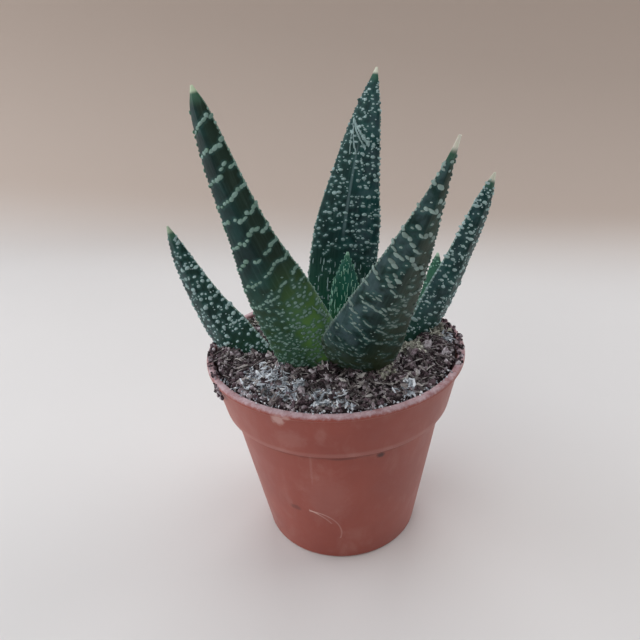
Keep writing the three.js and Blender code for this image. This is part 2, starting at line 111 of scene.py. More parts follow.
# Warts. `rise` is a dot's height over its radius, and `last_at` the share of the leaf that they
# reach. `small_leaf` is the least share of their size that warts keep where the leaf is narrow, and
# the half width that would add a whole share to it. TONES is how pale a wart is beside the palest.
DOT = {"rise": 0.5, "last_at": 0.965, "across": 0.98, "sideways": 0.3, "small_leaf": (0.55, 6),
       "wide": (0.8, 1.3), "long": (0.8, 1.2)}
SPECK = {"rise": 0.6, "last_at": 0.97, "across": 0.96, "stretch": (1, 1.7)}
MARGIN = {"across": 0.992, "last_at": 0.955, "radius": (0.12, 0.22), "apart": (0.6, 1.2),
          "stretch": (1.2, 1.6)}
STREAK = {"apart": 0.25, "stretch": 3, "uneven": (0.7, 1.1)}
TONES = (0.6, 1)
BAND = {
    "spacing": 0.8, "half_along": (0.26, 0.46), "height": (0.16, 0.26), "turn": 2.4,
    "wander_size": 1.9, "row_apart": 7.3, "last_at": 0.95, "past_margin": 0.45, "uneven": (0.85, 1.1),
    "small_leaf": (0.45, 7), "dot_spacing": 1.2, "dot_radius": (0.2, 0.38), "dot_stretch": (1.1, 1.5),
    "dot_jitter": 0.8, "dot_sideways": 0.05,
}
# The cross bands of the two leaves that have them: how a band climbs across the leaf and bends at
# the keel, how stout it is, and how much is missing.
BANDS = {
    "leaf_left_tall": {
        "pitch": 3.85, "tilt": (0.42, 0.45), "vee": (0, 0.1), "half_across": (0.42, 0.72),
        "stout": (0.48, 1.35), "gaps": (0.58, -0.15), "wave": 0.3, "wander": 0.6, "jitter": 0.3,
        "patch_size": 2.0, "broken_below": 0.45, "broken_pitch": 1.8},
    "leaf_right_front": {
        "pitch": 3.2, "tilt": (-0.45, -1.0), "vee": (0.1, -0.3), "half_across": (0.55, 1.0),
        "stout": (0.28, 1.4), "gaps": (0.45, 0.34), "wave": 0.4, "wander": 0.85, "jitter": 0.2,
        "patch_size": 1.6, "broken_below": 0.17, "broken_pitch": 1.8},
}
# Specks are strewn, so many to the square millimetre at the foot and at the tip; with less than
# none at the tip they end before it. Dots lie in rows `pitch` apart, and `spacing` apart at the foot
# and at the tip; `filled` is the share of places taken in one row and the next, `scatter` how far a
# dot strays along the leaf, and `stretch` its half widths across and along, over its radius. Below
# `dashed_below`, a share of the leaf, the dots are drawn out to dashes. The two banded faces have
# no rows of dots.
DASH = (0.3, 1.9)
STYLE_KEYS = ("specks", "speck_radius", "pitch", "spacing", "filled", "radius", "scatter", "stretch",
              "dashed_below")
SPARSE = ((0.25, 0.3), (0.1, 0.18), 2.6, (2.6, 2.2), (0.35, 0.25), (0.2, 0.32), 0.9, (1.2, 1))
STYLES = {name: [dict(zip(STYLE_KEYS, face)) for face in faces] for name, *faces in (
    # Each leaf's inner face, then its outer one.
    ("leaf_centre_young",
     ((0.6, 0.8), (0.08, 0.15), 1.4, (0.8, 0.7), (0.85, 0.7), (0.13, 0.2), 0.8, (0.6, 4.2)),
     ((0.5, 0.5), (0.08, 0.15), 1.7, (1.2, 1.1), (0.7, 0.6), (0.2, 0.3), 0.6, (0.8, 1.8))),
    ("leaf_back_tall",
     ((0.3, 1.1), (0.12, 0.24), 1.9, (1.5, 1.2), (0.8, 0.62), (0.26, 0.5), 0.5, (1.15, 0.8), 0.37),
     ((0.3, 0.5), (0.1, 0.2), 1.6, (1.2, 1.0), (0.88, 0.2), (0.32, 0.46), 0.25, (1.4, 0.9))),
    ("leaf_left_tall", SPARSE, ((1.9, -5.0), (0.1, 0.26))),
    ("leaf_right_front", SPARSE, ((0.4, 0.2), (0.1, 0.27))),
    ("leaf_right_narrow", SPARSE,
     ((0.5, 1.0), (0.12, 0.24), 1.6, (1.7, 1.15), (0.75, 0.65), (0.24, 0.52), 0.6, (1.45, 0.8))),
    ("leaf_left_low", SPARSE,
     ((0.5, 1.0), (0.12, 0.24), 1.75, (1.8, 1.25), (0.9, 0.65), (0.26, 0.52), 0.65, (1.15, 0.9))),
    ("leaf_right_small",
     ((0.4, 0.5), (0.1, 0.2), 1.7, (1.3, 1.1), (0.85, 0.6), (0.26, 0.4), 0.5, (1.2, 0.9)),
     ((0.3, 0.5), (0.1, 0.2), 1.6, (1.4, 1.2), (0.7, 0.4), (0.22, 0.32), 0.4, (1.2, 0.9))),
)}
# Pale scars on the inner face of the back leaf and the outer face of the left one: the start and
# end as (millimetres along the leaf, place across it), the face, and the line's half width.
STREAKS = {
    "leaf_back_tall": (
        ((54.8, 0.72), (50.0, -0.45), False, 0.2),
        ((53.6, 0.55), (49.0, -0.3), False, 0.13),
        ((54.0, 0.7), (48.0, 0.15), False, 0.15),
        ((52.6, 0.62), (47.6, 0.42), False, 0.13),
    ),
    "leaf_left_tall": (((25.5, 0.72), (22.3, 0.86), True, 0.13),),
}

# Colours of each leaf's skin. The colour after `fresh` is painted warm light on one flank, and the
# share after `tip` is how much painted blue-grey sheen shows on the other; `young` is how far above
# the soil the yellow-green base reaches, in millimetres, on the flank that starts at `young_side`;
# `seam` is how far the crease down the middle is paled, `edge` how far the margins are, and `dry` is
# the length of the cream point. `whiteness` is how white the warts are, from the leaf's foot to its
# tip, and `weathered` how much of that the flank with the painted warm light has lost at the foot.
LOOK_KEYS = ("slot", "wart", "deep", "fresh", "painted_warm_colour", "base", "tip", "painted_sheen", "young", "young_side",
             "seam", "edge", "dry", "whiteness", "weathered")
LOOKS = {name: dict(zip(LOOK_KEYS, row)) for name, *row in (
    ("leaf_centre_young", "leaf_young", "fresh", "16443b", "20604f", "174c3d", "2f5c33", "86ab97",
     0.2, 10, -1.5, 0, 0.08, 0.9, (0.7, 0.8), 0),
    ("leaf_back_tall", "leaf_dotted", "bright", "0b2022", "153b3a", "102826", "24543f", "d3d2c2",
     0.25, 22, -1.5, 0.4, 0.35, 1.7, (0.3, 0.84), 0),
    ("leaf_left_tall", "leaf_banded", "muted", "0a1c1b", "123230", "1e291c", "74a654", "b4c4a6",
     0.06, 32, 0.3, 0, 0.35, 1.3, (0.38, 0.63), 0),
    ("leaf_right_front", "leaf_banded", "earthy", "0d1f1b", "15302c", "2a3526", "465438", "d6d2c4",
     0.42, 16, -1.5, 0, 0.25, 2.6, (0.14, 0.8), 1),
    ("leaf_right_narrow", "leaf_dotted", "bright", "0d2727", "184443", "142c2a", "24483a", "d3d2c2",
     0.3, 12, -1.5, 0, 0.35, 2.2, (0.75, 0.88), 0),
    ("leaf_left_low", "leaf_dotted", "bright", "0c211f", "163732", "142c26", "24442f", "97a690",
     0.25, 12, -1.5, 0, 0.35, 1.7, (1, 0.6), 0),
    ("leaf_right_small", "leaf_young", "fresh", "28543f", "41735a", "34634c", "3f6a3f", "a9c4ae",
     0.2, 12, -1.5, 0, 0.2, 1.0, (0.7, 0.8), 0),
)}

# ------------------------------------------------------------------------------- small helpers


def lerp(low, high, share):
    return low + (high - low) * share


def linear(code):
    """An sRGB colour such as "8a5a50" as the linear colour that the shader takes."""
    channels = [int(code[i:i + 2], 16) / 255 for i in (0, 2, 4)]
    return (*[c / 12.92 if c <= 0.04045 else ((c + 0.055) / 1.055) ** 2.4 for c in channels], 1)


def per(size):
    """The scale of a pattern whose features are this many millimetres wide."""
    return 1 / (size * MM)


SMOOTH = {"interpolation_type": "SMOOTHSTEP"}
TIMES = {"operation": "MULTIPLY"}
LESS = {"operation": "SUBTRACT"}
OVER = {"operation": "GREATER_THAN"}
SIZELESS = {"operation": "ABSOLUTE"}
RGB = {"data_type": "RGBA"}
VECTOR = {"data_type": "FLOAT_VECTOR"}


def feed(node, inputs):
    """Gives each input a value or another node's output; a node stands for its first one in use.

    An input is named, or numbered among the ones in use.
    """
    for key, value in inputs.items():
        in_use = [s for s in node.inputs if s.enabled]
        socket = in_use[key] if isinstance(key, int) else next(s for s in in_use if s.name == key)
        if isinstance(value, bpy.types.Node):
            value = next(s for s in value.outputs if s.enabled)
        if isinstance(value, bpy.types.NodeSocket):
            node.id_data.links.new(value, socket)
        else:
            socket.default_value = value


def add(tree, kind, *inputs, **options):
    """Adds a node with its settings and links.

    A capitalised option is an input, with _ for a space in its name. The others are settings.
    """
    prefixes = ("GeometryNode", "FunctionNode", "ShaderNode", "Node")
    node = tree.nodes.new(next(p + kind for p in prefixes if hasattr(bpy.types, p + kind)))
    for name, value in options.items():
        if name[0].islower():
            setattr(node, name, value)
    feed(node, dict(enumerate(inputs)))
    feed(node, {name.replace("_", " "): value for name, value in options.items() if name[0].isupper()})
    return node


def away_from(tree, value, mark):
    """How far a value lies from a mark, to either side."""
    return add(tree, "Math", add(tree, "Math", value, mark, **LESS), **SIZELESS)


def smooth_through(places, values):
    """A smooth curve through the given values that never swings past them."""
    last = len(places) - 1
    rises = [(values[i + 1] - values[i]) / (places[i + 1] - places[i]) for i in range(last)]
    slopes = [rises[0]]
    for before, after in zip(rises, rises[1:]):
        slopes.append(2 * before * after / (before + after) if before * after > 0 else 0)
    slopes.append(rises[-1])

    def value_at(place):
        i = 0
        while i < last - 1 and place > places[i + 1]:
            i += 1
        span = places[i + 1] - places[i]
        u = min(max((place - places[i]) / span, 0), 1)
        return (values[i] * (1 + 2 * u) * (1 - u) ** 2 + values[i + 1] * u * u * (3 - 2 * u)
                + slopes[i] * u * (1 - u) ** 2 * span + slopes[i + 1] * u * u * (u - 1) * span)

    return value_at


def rippled(x, y, size, seed):
    """Smooth unevenness from about -1 to 1, with bumps this many millimetres wide."""
    return 2 * noise.noise(Vector((x / size, y / size, seed)))


def mesh_of(name, points, faces=(), edges=()):
    mesh = bpy.data.meshes.new(name)
    mesh.from_pydata([Vector(p) * MM for p in points], edges, faces)
    mesh.validate()
    mesh.update()
    return mesh


def in_scene(name, data):
    """Puts a mesh, light or camera in the scene."""
    thing = bpy.data.objects.new(name, data)
    bpy.context.scene.collection.objects.link(thing)
    return thing


def piece_of(mesh, name, materials=(), smooth=True):
    """Puts a mesh in the scene as a piece at the origin."""
    mesh.name = name
    for material in materials:
        mesh.materials.append(material)
    if smooth:
        mesh.shade_smooth()
    return in_scene(name, mesh)


def mark(mesh, name, values, kind="FLOAT"):
    """Stores one value for each point of a mesh."""
    attribute = mesh.attributes.new(name, kind, "POINT")
    if kind == "FLOAT":
        attribute.data.foreach_set("value", values)
    else:
        attribute.data.foreach_set("vector", [c for v in values for c in v])


def new_tree(name, inputs):
    """A node tree that takes a geometry and the named inputs, and gives a geometry."""
    tree = bpy.data.node_groups.new(name, "GeometryNodeTree")
    for kind, labels in {"Geometry": ["Geometry"], **inputs}.items():
        for label in labels:
            tree.interface.new_socket(label, in_out="INPUT", socket_type="NodeSocket" + kind)
    tree.interface.new_socket("Geometry", in_out="OUTPUT", socket_type="NodeSocketGeometry")
    return tree, add(tree, "GroupInput").outputs


def finish_tree(tree, shape, material):
    """Ends a tree: real mesh in place of instances, its material, and the way out."""
    shape = add(tree, "SetMaterial", add(tree, "RealizeInstances", shape), Material=material)
    add(tree, "GroupOutput", shape)
    return tree


def knocked(tree, shape, amount, **pattern):
    """Pushes the points of a shape about by a noise."""
    knock = add(tree, "TexNoise", **pattern).outputs["Color"]
    knock = add(tree, "VectorMath", knock, (0.5, 0.5, 0.5), **LESS)
    knock = add(tree, "VectorMath", knock, amount, operation="SCALE")
    return add(tree, "SetPosition", shape, Offset=knock)


def grown(name, mesh, tree, values):
    """Runs a node tree on a mesh with the given inputs, and returns the plain mesh that it makes."""
    seedling = in_scene(name + "_rule", mesh)
    rule = seedling.modifiers.new("rule", "NODES")
    rule.node_group = tree
    for socket in tree.interface.items_tree:
        if socket.in_out == "INPUT" and socket.name in values:
            rule[socket.identifier] = values[socket.name]
    depsgraph = bpy.context.evaluated_depsgraph_get()
    made = bpy.data.meshes.new_from_object(
        seedling.evaluated_get(depsgraph), preserve_all_data_layers=True, depsgraph=depsgraph)
    seedling.modifiers.remove(rule)
    bpy.data.objects.remove(seedling)
    return made


# ----------------------------------------------------------------------------------- materials


def new_material(name):
    """A material, its tree and its shader, and the place on the piece that its patterns follow."""
    material = bpy.data.materials.new(name)
    material.use_nodes = True
    tree = material.node_tree
    return material, tree, tree.nodes["Principled BSDF"], add(tree, "TexCoord").outputs["Object"]


def leaf_skin(name, look):
    """Living haworthia skin: a tough waxy epidermis over watery flesh, satin rather than shiny.

    Deep teal-green with fresher blotches and fine lengthwise veins. One flank has painted warm light,
    an olive tone, and the other a painted blue-grey sheen; the skin is yellow-green where the leaf
    leaves the soil, pale along the margins, and dry and cream at the very tip.
    """
    material, tree, shader, place = new_material(name)
    across, outer, girth, from_soil, to_tip, from_wart = [
        add(tree, "Attribute", attribute_name=label).outputs["Fac"]
        for label in ("across", "outer", "girth", "from_soil", "to_tip", "from_wart")]

    # Blotches about 4 mm wide, where the skin is fresher.
    blotches = add(tree, "TexNoise", place, Scale=per(4), Detail=4)
    fresher = add(tree, "MapRange", blotches, 0.4, 0.66, **SMOOTH)

    # Painted warm light: one flank is toned olive, as if warmer light fell on that side.
    painted_warm_light = add(tree, "MapRange", across, -0.1, 0.5, To_Max=0.8, **SMOOTH)

    # Painted sheen: a blue-grey reflection is painted on the other flank, in patches 3 mm wide; the same
    # patches are the waxier, duller skin.
    wax_and_sheen = add(tree, "TexNoise", place, Scale=per(3), Detail=4)
    painted_sheen = add(tree, "Math", add(tree, "MapRange", across, 0.1, -0.5, To_Max=look["painted_sheen"], **SMOOTH),
                add(tree, "MapRange", wax_and_sheen, 0.36, 0.62, **SMOOTH), **TIMES)

    # The youngest skin, just above the soil, is yellow-green.
    young = add(tree, "MapRange", from_soil, look["young"] * MM, 1 * MM, To_Max=0.9, **SMOOTH)
    side = look["young_side"]
    young = add(tree, "Math", young, add(tree, "MapRange", across, side - 0.6, side, 0.25, **SMOOTH),
                **TIMES)

    # Veins run lengthwise: 0.4 mm wide and 8 mm long.
    vein_place = add(tree, "CombineXYZ", add(tree, "Math", girth, per(0.4), **TIMES),
                     add(tree, "Math", from_soil, per(8), **TIMES))
    veins = add(tree, "TexNoise", vein_place, Scale=1, Detail=2)
    veined = add(tree, "MapRange", veins, 0.5, 0.75, To_Max=0.07)

    # The crease down the middle of the inner face is paled in places, halfway up the leaf.
    crease = add(tree, "MapRange", away_from(tree, across, 0.1), 0.08, 0.01, **SMOOTH)
    crease = add(tree, "Math", crease, outer, use_clamp=True, **LESS)
    halfway = away_from(tree, to_tip, 27 * MM)
    halfway = add(tree, "MapRange", halfway, 12 * MM, 7 * MM, To_Max=look["seam"], **SMOOTH)
    crease = add(tree, "Math", crease, halfway, **TIMES)

    # The skin is paler close round every large wart, and a thin hard line edges the leaf.
    halo = add(tree, "MapRange", from_wart, 0.85 * MM, 0.3 * MM, To_Max=0.42, **SMOOTH)
    edge = add(tree, "Math", across, **SIZELESS)
    edge = add(tree, "MapRange", edge, 0.965, 0.99, To_Max=look["edge"])

    # The last millimetres turn a lighter green, and the very point is dry and cream.
    dry = look["dry"] * MM
    paling = add(tree, "MapRange", to_tip, dry + 2 * MM, dry, To_Max=0.45, **SMOOTH)
    point = add(tree, "MapRange", to_tip, dry, 0.55 * dry, **SMOOTH)

    skin = linear(look["deep"])
    for share, code in (
            (fresher, look["fresh"]), (painted_warm_light, look["painted_warm_colour"]), (painted_sheen, "5b7178"), (young, look["base"]),
            (veined, "7d9a8c"), (crease, "7f979b"), (halo, "3d625e"), (edge, "9ab3a2"),
            (paling, "4f7a60"), (point, look["tip"])):
        skin = add(tree, "Mix", share, skin, linear(code), **RGB)

    # Waxy patches are duller, and the cells stand up as grains 0.25 mm wide, coarser than life.
    cells = add(tree, "TexVoronoi", place, Scale=per(0.25))
    bump = add(tree, "Bump", Strength=0.25, Distance=0.05 * MM, Height=cells)
    feed(shader, {
        "Base Color": skin, "Roughness": add(tree, "MapRange", wax_and_sheen, 0.3, 0.7, 0.34, 0.55),
        "Normal": add(tree, "Bump", Strength=0.3, Distance=0.1 * MM, Height=veins, Normal=bump),
        "Subsurface Weight": 0.06, "Subsurface Radius": (0.5, 1.0, 0.4), "Subsurface Scale": 1 * MM,
        "Specular IOR Level": 0.22, "Specular Tint": linear("c8f0ee")})
    return material


def wart_skin(name, crown, skirt):
    """A wart: air-filled dead cells, chalky and whitish on its crown, greener at its skirt."""
    material, tree, shader, place = new_material(name)
    crest, tone = [
        add(tree, "Attribute", attribute_name=label).outputs["Fac"] for label in ("crest", "tone")]
    grain = add(tree, "TexNoise", place, Scale=per(0.5), Detail=3)
    worn = add(tree, "Math", grain, 0.5, crest, operation="MULTIPLY_ADD")
    share = add(tree, "Math", add(tree, "MapRange", worn, 0.2, 0.85, **SMOOTH), tone, **TIMES)
    chalk = add(tree, "TexNoise", place, Scale=per(0.18), Detail=2)
    feed(shader, {
        "Base Color": add(tree, "Mix", share, linear(skirt), linear(crown), **RGB),
        "Roughness": add(tree, "MapRange", chalk, To_Min=0.45, To_Max=0.75),
        "Normal": add(tree, "Bump", Strength=0.4, Distance=0.05 * MM, Height=chalk),
        "Subsurface Weight": 0.15, "Subsurface Radius": (0.6, 0.8, 0.5), "Subsurface Scale": 0.6 * MM})
    return material


def crumb_material(name, stops, grain_size, roughness):
    """Loose matter of mixed crumbs: each has its own tone, blotched by finer grain.

    `stops` are the colours from the commonest dark tone to the rare pale one.
    """
    material, tree, shader, place = new_material(name)
    tone = add(tree, "Attribute", attribute_name="tone").outputs["Fac"]
    grain = add(tree, "TexNoise", place, Scale=per(grain_size), Detail=5, Roughness=0.65)
    grain = add(tree, "Math", grain, 0.5, **LESS)
    ramp = add(tree, "ValToRGB", add(
        tree, "Math", grain, 1.1, tone, operation="MULTIPLY_ADD", use_clamp=True))
    elements = ramp.color_ramp.elements
    while len(elements) < len(stops):
        elements.new(0.5)
    for element, (position, code) in zip(elements, stops):
        element.position = position
        element.color = linear(code)
    fuzz = add(tree, "TexNoise", place, Scale=per(grain_size / 2.5), Detail=4, Roughness=0.7)
    bump = add(tree, "Bump", Strength=0.8, Distance=0.2 * MM, Height=fuzz)
    feed(shader, {"Base Color": ramp, "Roughness": roughness, "Normal": bump})
    return material


def pot_plastic():
    """Injection-moulded polypropylene, terracotta brown: a soft satin skin gone dull with use.

    Lime has dried along the lip and dust hangs under it; a pale line along the collar's lower edge is
    painted highlight and a dark line under the step is painted shade; handling has left soft smudges,
    two curved hair-thin scratches and a few spots on the front.
    """
    material, tree, shader, place = new_material("moulded polypropylene, dusty terracotta")
    height = add(tree, "SeparateXYZ", place).outputs["Z"]
    around = add(tree, "Attribute", attribute_name="around").outputs["Fac"]
    wall = add(tree, "CombineXYZ", around, height)
    grain = add(tree, "TexNoise", place, Scale=per(0.9), Detail=5, Roughness=0.65)

    # The pigment is a little uneven, in clouds about 14 mm wide.
    clouds = add(tree, "TexNoise", place, Scale=per(14), Detail=3)
    coats = [(add(tree, "MapRange", clouds, 0.3, 0.7), "974536")]

    # Handling has dusted the wall in patches 5 mm wide and 8 mm tall.
    smears = add(tree, "VectorMath", place, (per(5), per(5), per(8)), **TIMES)
    dust = add(tree, "TexNoise", smears, Scale=1, Detail=6, Roughness=0.6, Distortion=0.3)
    coats.append((add(tree, "MapRange", dust, 0.48, 0.8, To_Max=0.28, **SMOOTH), "b98f86"))

    # Along the collar's lower edge, a pale line broken by the dust patches is a painted highlight, and
    # the dark line in the corner below the step is painted shade.
    for level, reach, most, patches, code in (
            (33.9, 0.9, 0.3, dust, "c4a19a"), (32.1, 0.8, 0.6, grain, "5c2f2a")):
        line = away_from(tree, height, level * MM)
        line = add(tree, "MapRange", line, reach * MM, 0.1 * MM, To_Max=most, **SMOOTH)
        coats.append((add(tree, "Math", line, patches, **TIMES), code))

    # Scuffs and drips that pale the wall, and three marks that darken it, all on the front: two spots and
    # a thin line of painted shade under the step. Each row: how far to the right and how high it lies,
    # its half width and half height, and how much it shows.
    pale, dark = "cbaaa4", "4a1f1a"
    for right, high, half_width, half_height, amount, code in (
            (-11.4, 42.6, 1.6, 1.9, 0.6, pale), (-9.7, 43.4, 1.2, 1.0, 0.5, pale),
            (-5.8, 28.5, 0.35, 6, 0.1, pale), (-3.4, 39.0, 1.4, 2.6, 0.07, pale),
            (-9.5, 37.5, 4, 3, 0.1, pale), (-3, 20, 6, 9, 0.08, pale),
            (8.1, 31.2, 1.0, 0.85, 1, dark), (-10.2, 15.3, 1.6, 1.0, 0.5, dark),
            # A thin line of painted shade under the step.
            (0.3, 31.7, 3.2, 0.35, 0.4, dark)):
        spot = add(tree, "VectorMath", wall, (right * MM, high * MM, 0), **LESS)
        spot = add(tree, "VectorMath", spot, (per(half_width), per(half_height), 0), **TIMES)
        ragged = add(tree, "Math", add(tree, "VectorMath", spot, operation="LENGTH"), grain)
        coats.append((add(tree, "MapRange", ragged, 1.6, 0.9, To_Max=amount, **SMOOTH), code))

    # Two scratches 0.2 mm wide, a curl and a short stroke across it. They are arcs of circles, each
    # given by its middle, its radius, and how far right of and above the middle it begins, and they
    # fade where they were drawn lightly.
    for right, high, radius, right_of, above in (
            (-6.6, 9.05, 6.25, -0.4, -2), (-9.9, 7.05, 9, 2.8, 4.9)):
        arm = add(tree, "VectorMath", wall, (right * MM, high * MM, 0), **LESS)
        miss = away_from(tree, add(tree, "VectorMath", arm, operation="LENGTH"), radius * MM)
        line = add(tree, "MapRange", miss, 0.24 * MM, 0.05 * MM, To_Max=0.6, **SMOOTH)
        side, rise, _ = add(tree, "SeparateXYZ", arm).outputs
        for share in (
                add(tree, "Math", side, right_of * MM, **OVER),
                add(tree, "Math", rise, above * MM, **OVER),
                add(tree, "MapRange", side, 0.4 * radius * MM, radius * MM, 1, 0.35),
                add(tree, "MapRange", dust, 0.35, 0.55, 0.35)):
            line = add(tree, "Math", line, share, **TIMES)
        coats.append((line, "dcbcb2"))
    colour = linear("8a3c2f")
    for share, code in coats:
        colour = add(tree, "Mix", share, colour, linear(code), **RGB)

    # Lime has dried on the lip in a ragged crust, thinner in places.
    ragged = add(tree, "Math", grain, 0.5, **LESS)
    ragged = add(tree, "Math", ragged, 1.5 * MM, height, operation="MULTIPLY_ADD")
    lime = add(tree, "MapRange", ragged, 43.8 * MM, 44.6 * MM, To_Max=0.8, **SMOOTH)
    crust = add(tree, "TexNoise", place, Scale=per(2.2), Detail=5, Roughness=0.7)
    crust = add(tree, "MapRange", crust, 0.35, 0.62)
    lime_colour = add(tree, "Mix", crust, linear("9c767b"), linear("cfbcc3"), **RGB)

    # The mould left a 0.4 mm orange-peel, and dust and lime are rougher than the plastic.
    rough = add(tree, "MapRange", dust, 0.35, 0.7, 0.42, 0.62)
    rough = add(tree, "Math", lime, 0.3, rough, operation="MULTIPLY_ADD", use_clamp=True)
    peel = add(tree, "TexNoise", place, Scale=per(0.4), Detail=2)
    bump = add(tree, "Bump", Strength=0.15, Distance=0.05 * MM, Height=peel)
    crumbly = add(tree, "Math", lime, grain, **TIMES)
    feed(shader, {
        "Base Color": add(tree, "Mix", lime, colour, lime_colour, **RGB), "Roughness": rough,
        "Normal": add(tree, "Bump", Strength=0.5, Distance=0.15 * MM, Height=crumbly, Normal=bump),
        "IOR": 1.49, "Sheen Weight": 0.22, "Sheen Roughness": 0.4, "Sheen Tint": linear("f4d8d2")})
    return material


def root_skin():
    """Fleshy haworthia root: matte ivory skin with fine wrinkles and earth rubbed into it."""
    material, tree, shader, place = new_material("ivory root skin, earthy")
    earth = add(tree, "TexNoise", place, Scale=per(2.2), Detail=5)
    earth = add(tree, "MapRange", earth, 0.4, 0.65)
    wrinkles = add(tree, "TexNoise", place, Scale=per(0.7), Detail=3)
    feed(shader, {
        "Base Color": add(tree, "Mix", earth, linear("c9bd9b"), linear("6e5a49"), **RGB),
        "Roughness": 0.85,
        "Normal": add(tree, "Bump", Strength=0.6, Distance=0.2 * MM, Height=wrinkles)})
    return material


def floor_paper():
    """Plain uncoated paper: matte and pale where it lies, buff where it rises behind, with painted shade
    that darkens it further up.
    """
    material, tree, shader, place = new_material("pale uncoated paper")
    clouds = add(tree, "TexNoise", place, Scale=per(60), Detail=3)
    near = add(tree, "Mix", clouds, linear("dfdcda"), linear("e3e0de"), **RGB)
    away = add(tree, "VectorMath", place, (0.24, 0.97, 1), operation="DOT_PRODUCT")
    # Behind, the paper turns buff, and a painted shade darkens it further as the sheet rises.
    buff_and_shade = add(tree, "MapRange", away, 230 * MM, 450 * MM)
    buff_and_shade = add(tree, "Mix", buff_and_shade, linear("c6b7ac"), linear("b5a69b"), **RGB)
    behind = add(tree, "MapRange", away, 130 * MM, 275 * MM, **SMOOTH)
    feed(shader, {"Base Color": add(tree, "Mix", behind, near, buff_and_shade, **RGB), "Roughness": 0.9})
    return material


# ----------------------------------------------------------------------------------------- pot


def filleted(profile, steps):
    """Rounds the corners of a profile. A corner is (radius, height) or (radius, height, rounding)."""
    points = []
    for i, corner in enumerate(profile):
        here = Vector(corner[:2])
        if len(corner) == 2:
            points.append(here)
            continue
        before = (Vector(profile[i - 1][:2]) - here).normalized() * corner[2]
        after = (Vector(profile[i + 1][:2]) - here).normalized() * corner[2]
        for step in range(steps + 1):
            t = step / steps
            points.append(here + before * (1 - t) ** 2 + after * t ** 2)
    return points


def pot_profile():
    """The pot's outline from the middle of its underside, out, up, over the lip and down inside.

    Each corner is a radius, a height and how far back its rounding begins.
    """
    wall, top, recess, floor = POT["wall"], POT["height"], POT["recess"], POT["floor_top"]
    step = POT["collar_bottom"]
    collar_top = POT["rim_radius"] - POT["lip_overhang"]
    lip_bottom = top - POT["lip_height"]
    lip_inner = collar_top - wall + POT["lip_rounding"] / 2
    floor_radius = lerp(POT["base_radius"], POT["body_top_radius"], floor / step) - wall
    return [
        (0, 0),
        (POT["pad_radius"], 0, 0.15),
        (POT["pad_radius"] + POT["recess_slope"], recess, 0.15),
        (POT["foot_inner_radius"] - POT["recess_slope"], recess, 0.15),
        (POT["foot_inner_radius"], 0, 0.15),
        (POT["base_radius"] - POT["base_draw"], 0, 0.7),
        (POT["base_radius"] + POT["base_draw"], POT["base_edge"], 0.5),
        (POT["body_top_radius"], step - POT["step_slope"] / 2, 0.35),
        (POT["collar_bottom_radius"], step, 0.3),
        (collar_top, lip_bottom, 0.2),
        (POT["rim_radius"], lip_bottom + POT["lip_slope"], 0.3),
        (POT["rim_radius"], top, 0.6),
        (lip_inner, top, 0.5),
        (lip_inner, lip_bottom + POT["lip_inner_slope"], 0.2),
        (collar_top - wall, lip_bottom - POT["lip_inner_draw"], 0.2),
        (POT["collar_bottom_radius"] - wall, step + wall + POT["step_slope"], 0.3),
        (POT["body_top_radius"] - wall, step + wall, 0.3),
        (floor_radius, floor, 0.4),
        (0, floor),
    ]


def turned(name, profile):
    """Turns a profile round the Z axis into a closed skin, very slightly out of round."""
    points = [(0, 0, profile[0][1]), (0, 0, profile[-1][1])]
    around = [0.0, 0.0]
    segments, count = POT["segments"], len(profile) - 2
    faces = []
    for i in range(segments):
        angle = 2 * math.pi * i / segments - math.pi
        oval = (1 + math.sin(2 * angle + POT["oval_turn"])) / 2
        for radius, height in profile[1:-1]:
            r = radius - POT["out_of_round"] * (height / POT["height"]) * oval
            points.append((r * math.cos(angle - math.pi / 2), r * math.sin(angle - math.pi / 2), height))
            around.append(angle * radius * MM)
        here, there = 2 + i * count, 2 + ((i + 1) % segments) * count
        faces += [(0, there, here), (1, here + count - 1, there + count - 1)]
        faces += [(here + j, there + j, there + j + 1, here + j + 1) for j in range(count - 1)]
    mesh = mesh_of(name, points, faces)
    mark(mesh, "around", around)
    return mesh


def drain_tree():
    """Bores a ring of drain holes through the floor."""
    tree, given = new_tree("drain_holes", {
        "Int": ["Holes"], "Float": ["Ring radius", "Hole radius", "Depth"], "Material": ["Material"]})
    ring = add(tree, "MeshCircle", Vertices=given["Holes"], Radius=given["Ring radius"])
    drill = add(tree, "MeshCylinder", Vertices=32, Radius=given["Hole radius"], Depth=given["Depth"])
    drills = add(tree, "RealizeInstances", add(tree, "InstanceOnPoints", Points=ring, Instance=drill))
    bored = add(tree, "MeshBoolean", operation="DIFFERENCE", solver="EXACT",
                Mesh_1=given["Geometry"], Mesh_2=drills)
    return finish_tree(tree, bored, given["Material"])


def make_pot():
    blank = turned("pot_blank", filleted(pot_profile(), POT["fillet_steps"]))
    mesh = grown("pot", blank, drain_tree(), {
        "Holes": POT["drain_holes"],
        "Ring radius": (POT["pad_radius"] + POT["foot_inner_radius"]) / 2 * MM,
        "Hole radius": POT["drain_diameter"] / 2 * MM,
        "Depth": 4 * POT["floor_top"] * MM,
        "Material": pot_plastic(),
    })
    pot = piece_of(mesh, "nursery_pot")
    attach(pot, "root")
    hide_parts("pot")


# -------------------------------------------------------------------------------------- leaves


def heading(leaf, share):
    """The way a leaf runs at a share of its length, the way its outer face looks, and its side."""
    t = min(max(share, 0), 1)
    twist = math.radians(lerp(*leaf["twist"], t))
    rise = math.radians(lerp(*leaf["rise"], t ** leaf["rise_ease"]))
    turn = math.radians(lerp(*leaf["azimuth"], t ** leaf["azimuth_ease"]))
    flat = Vector((math.cos(turn), math.sin(turn), 0))
    along = flat * math.cos(rise) + UP * math.sin(rise)
    out = flat * math.sin(rise) - UP * math.cos(rise)
    side = along.cross(out)
    return (along, out * math.cos(twist) + side * math.sin(twist),
            side * math.cos(twist) - out * math.sin(twist))


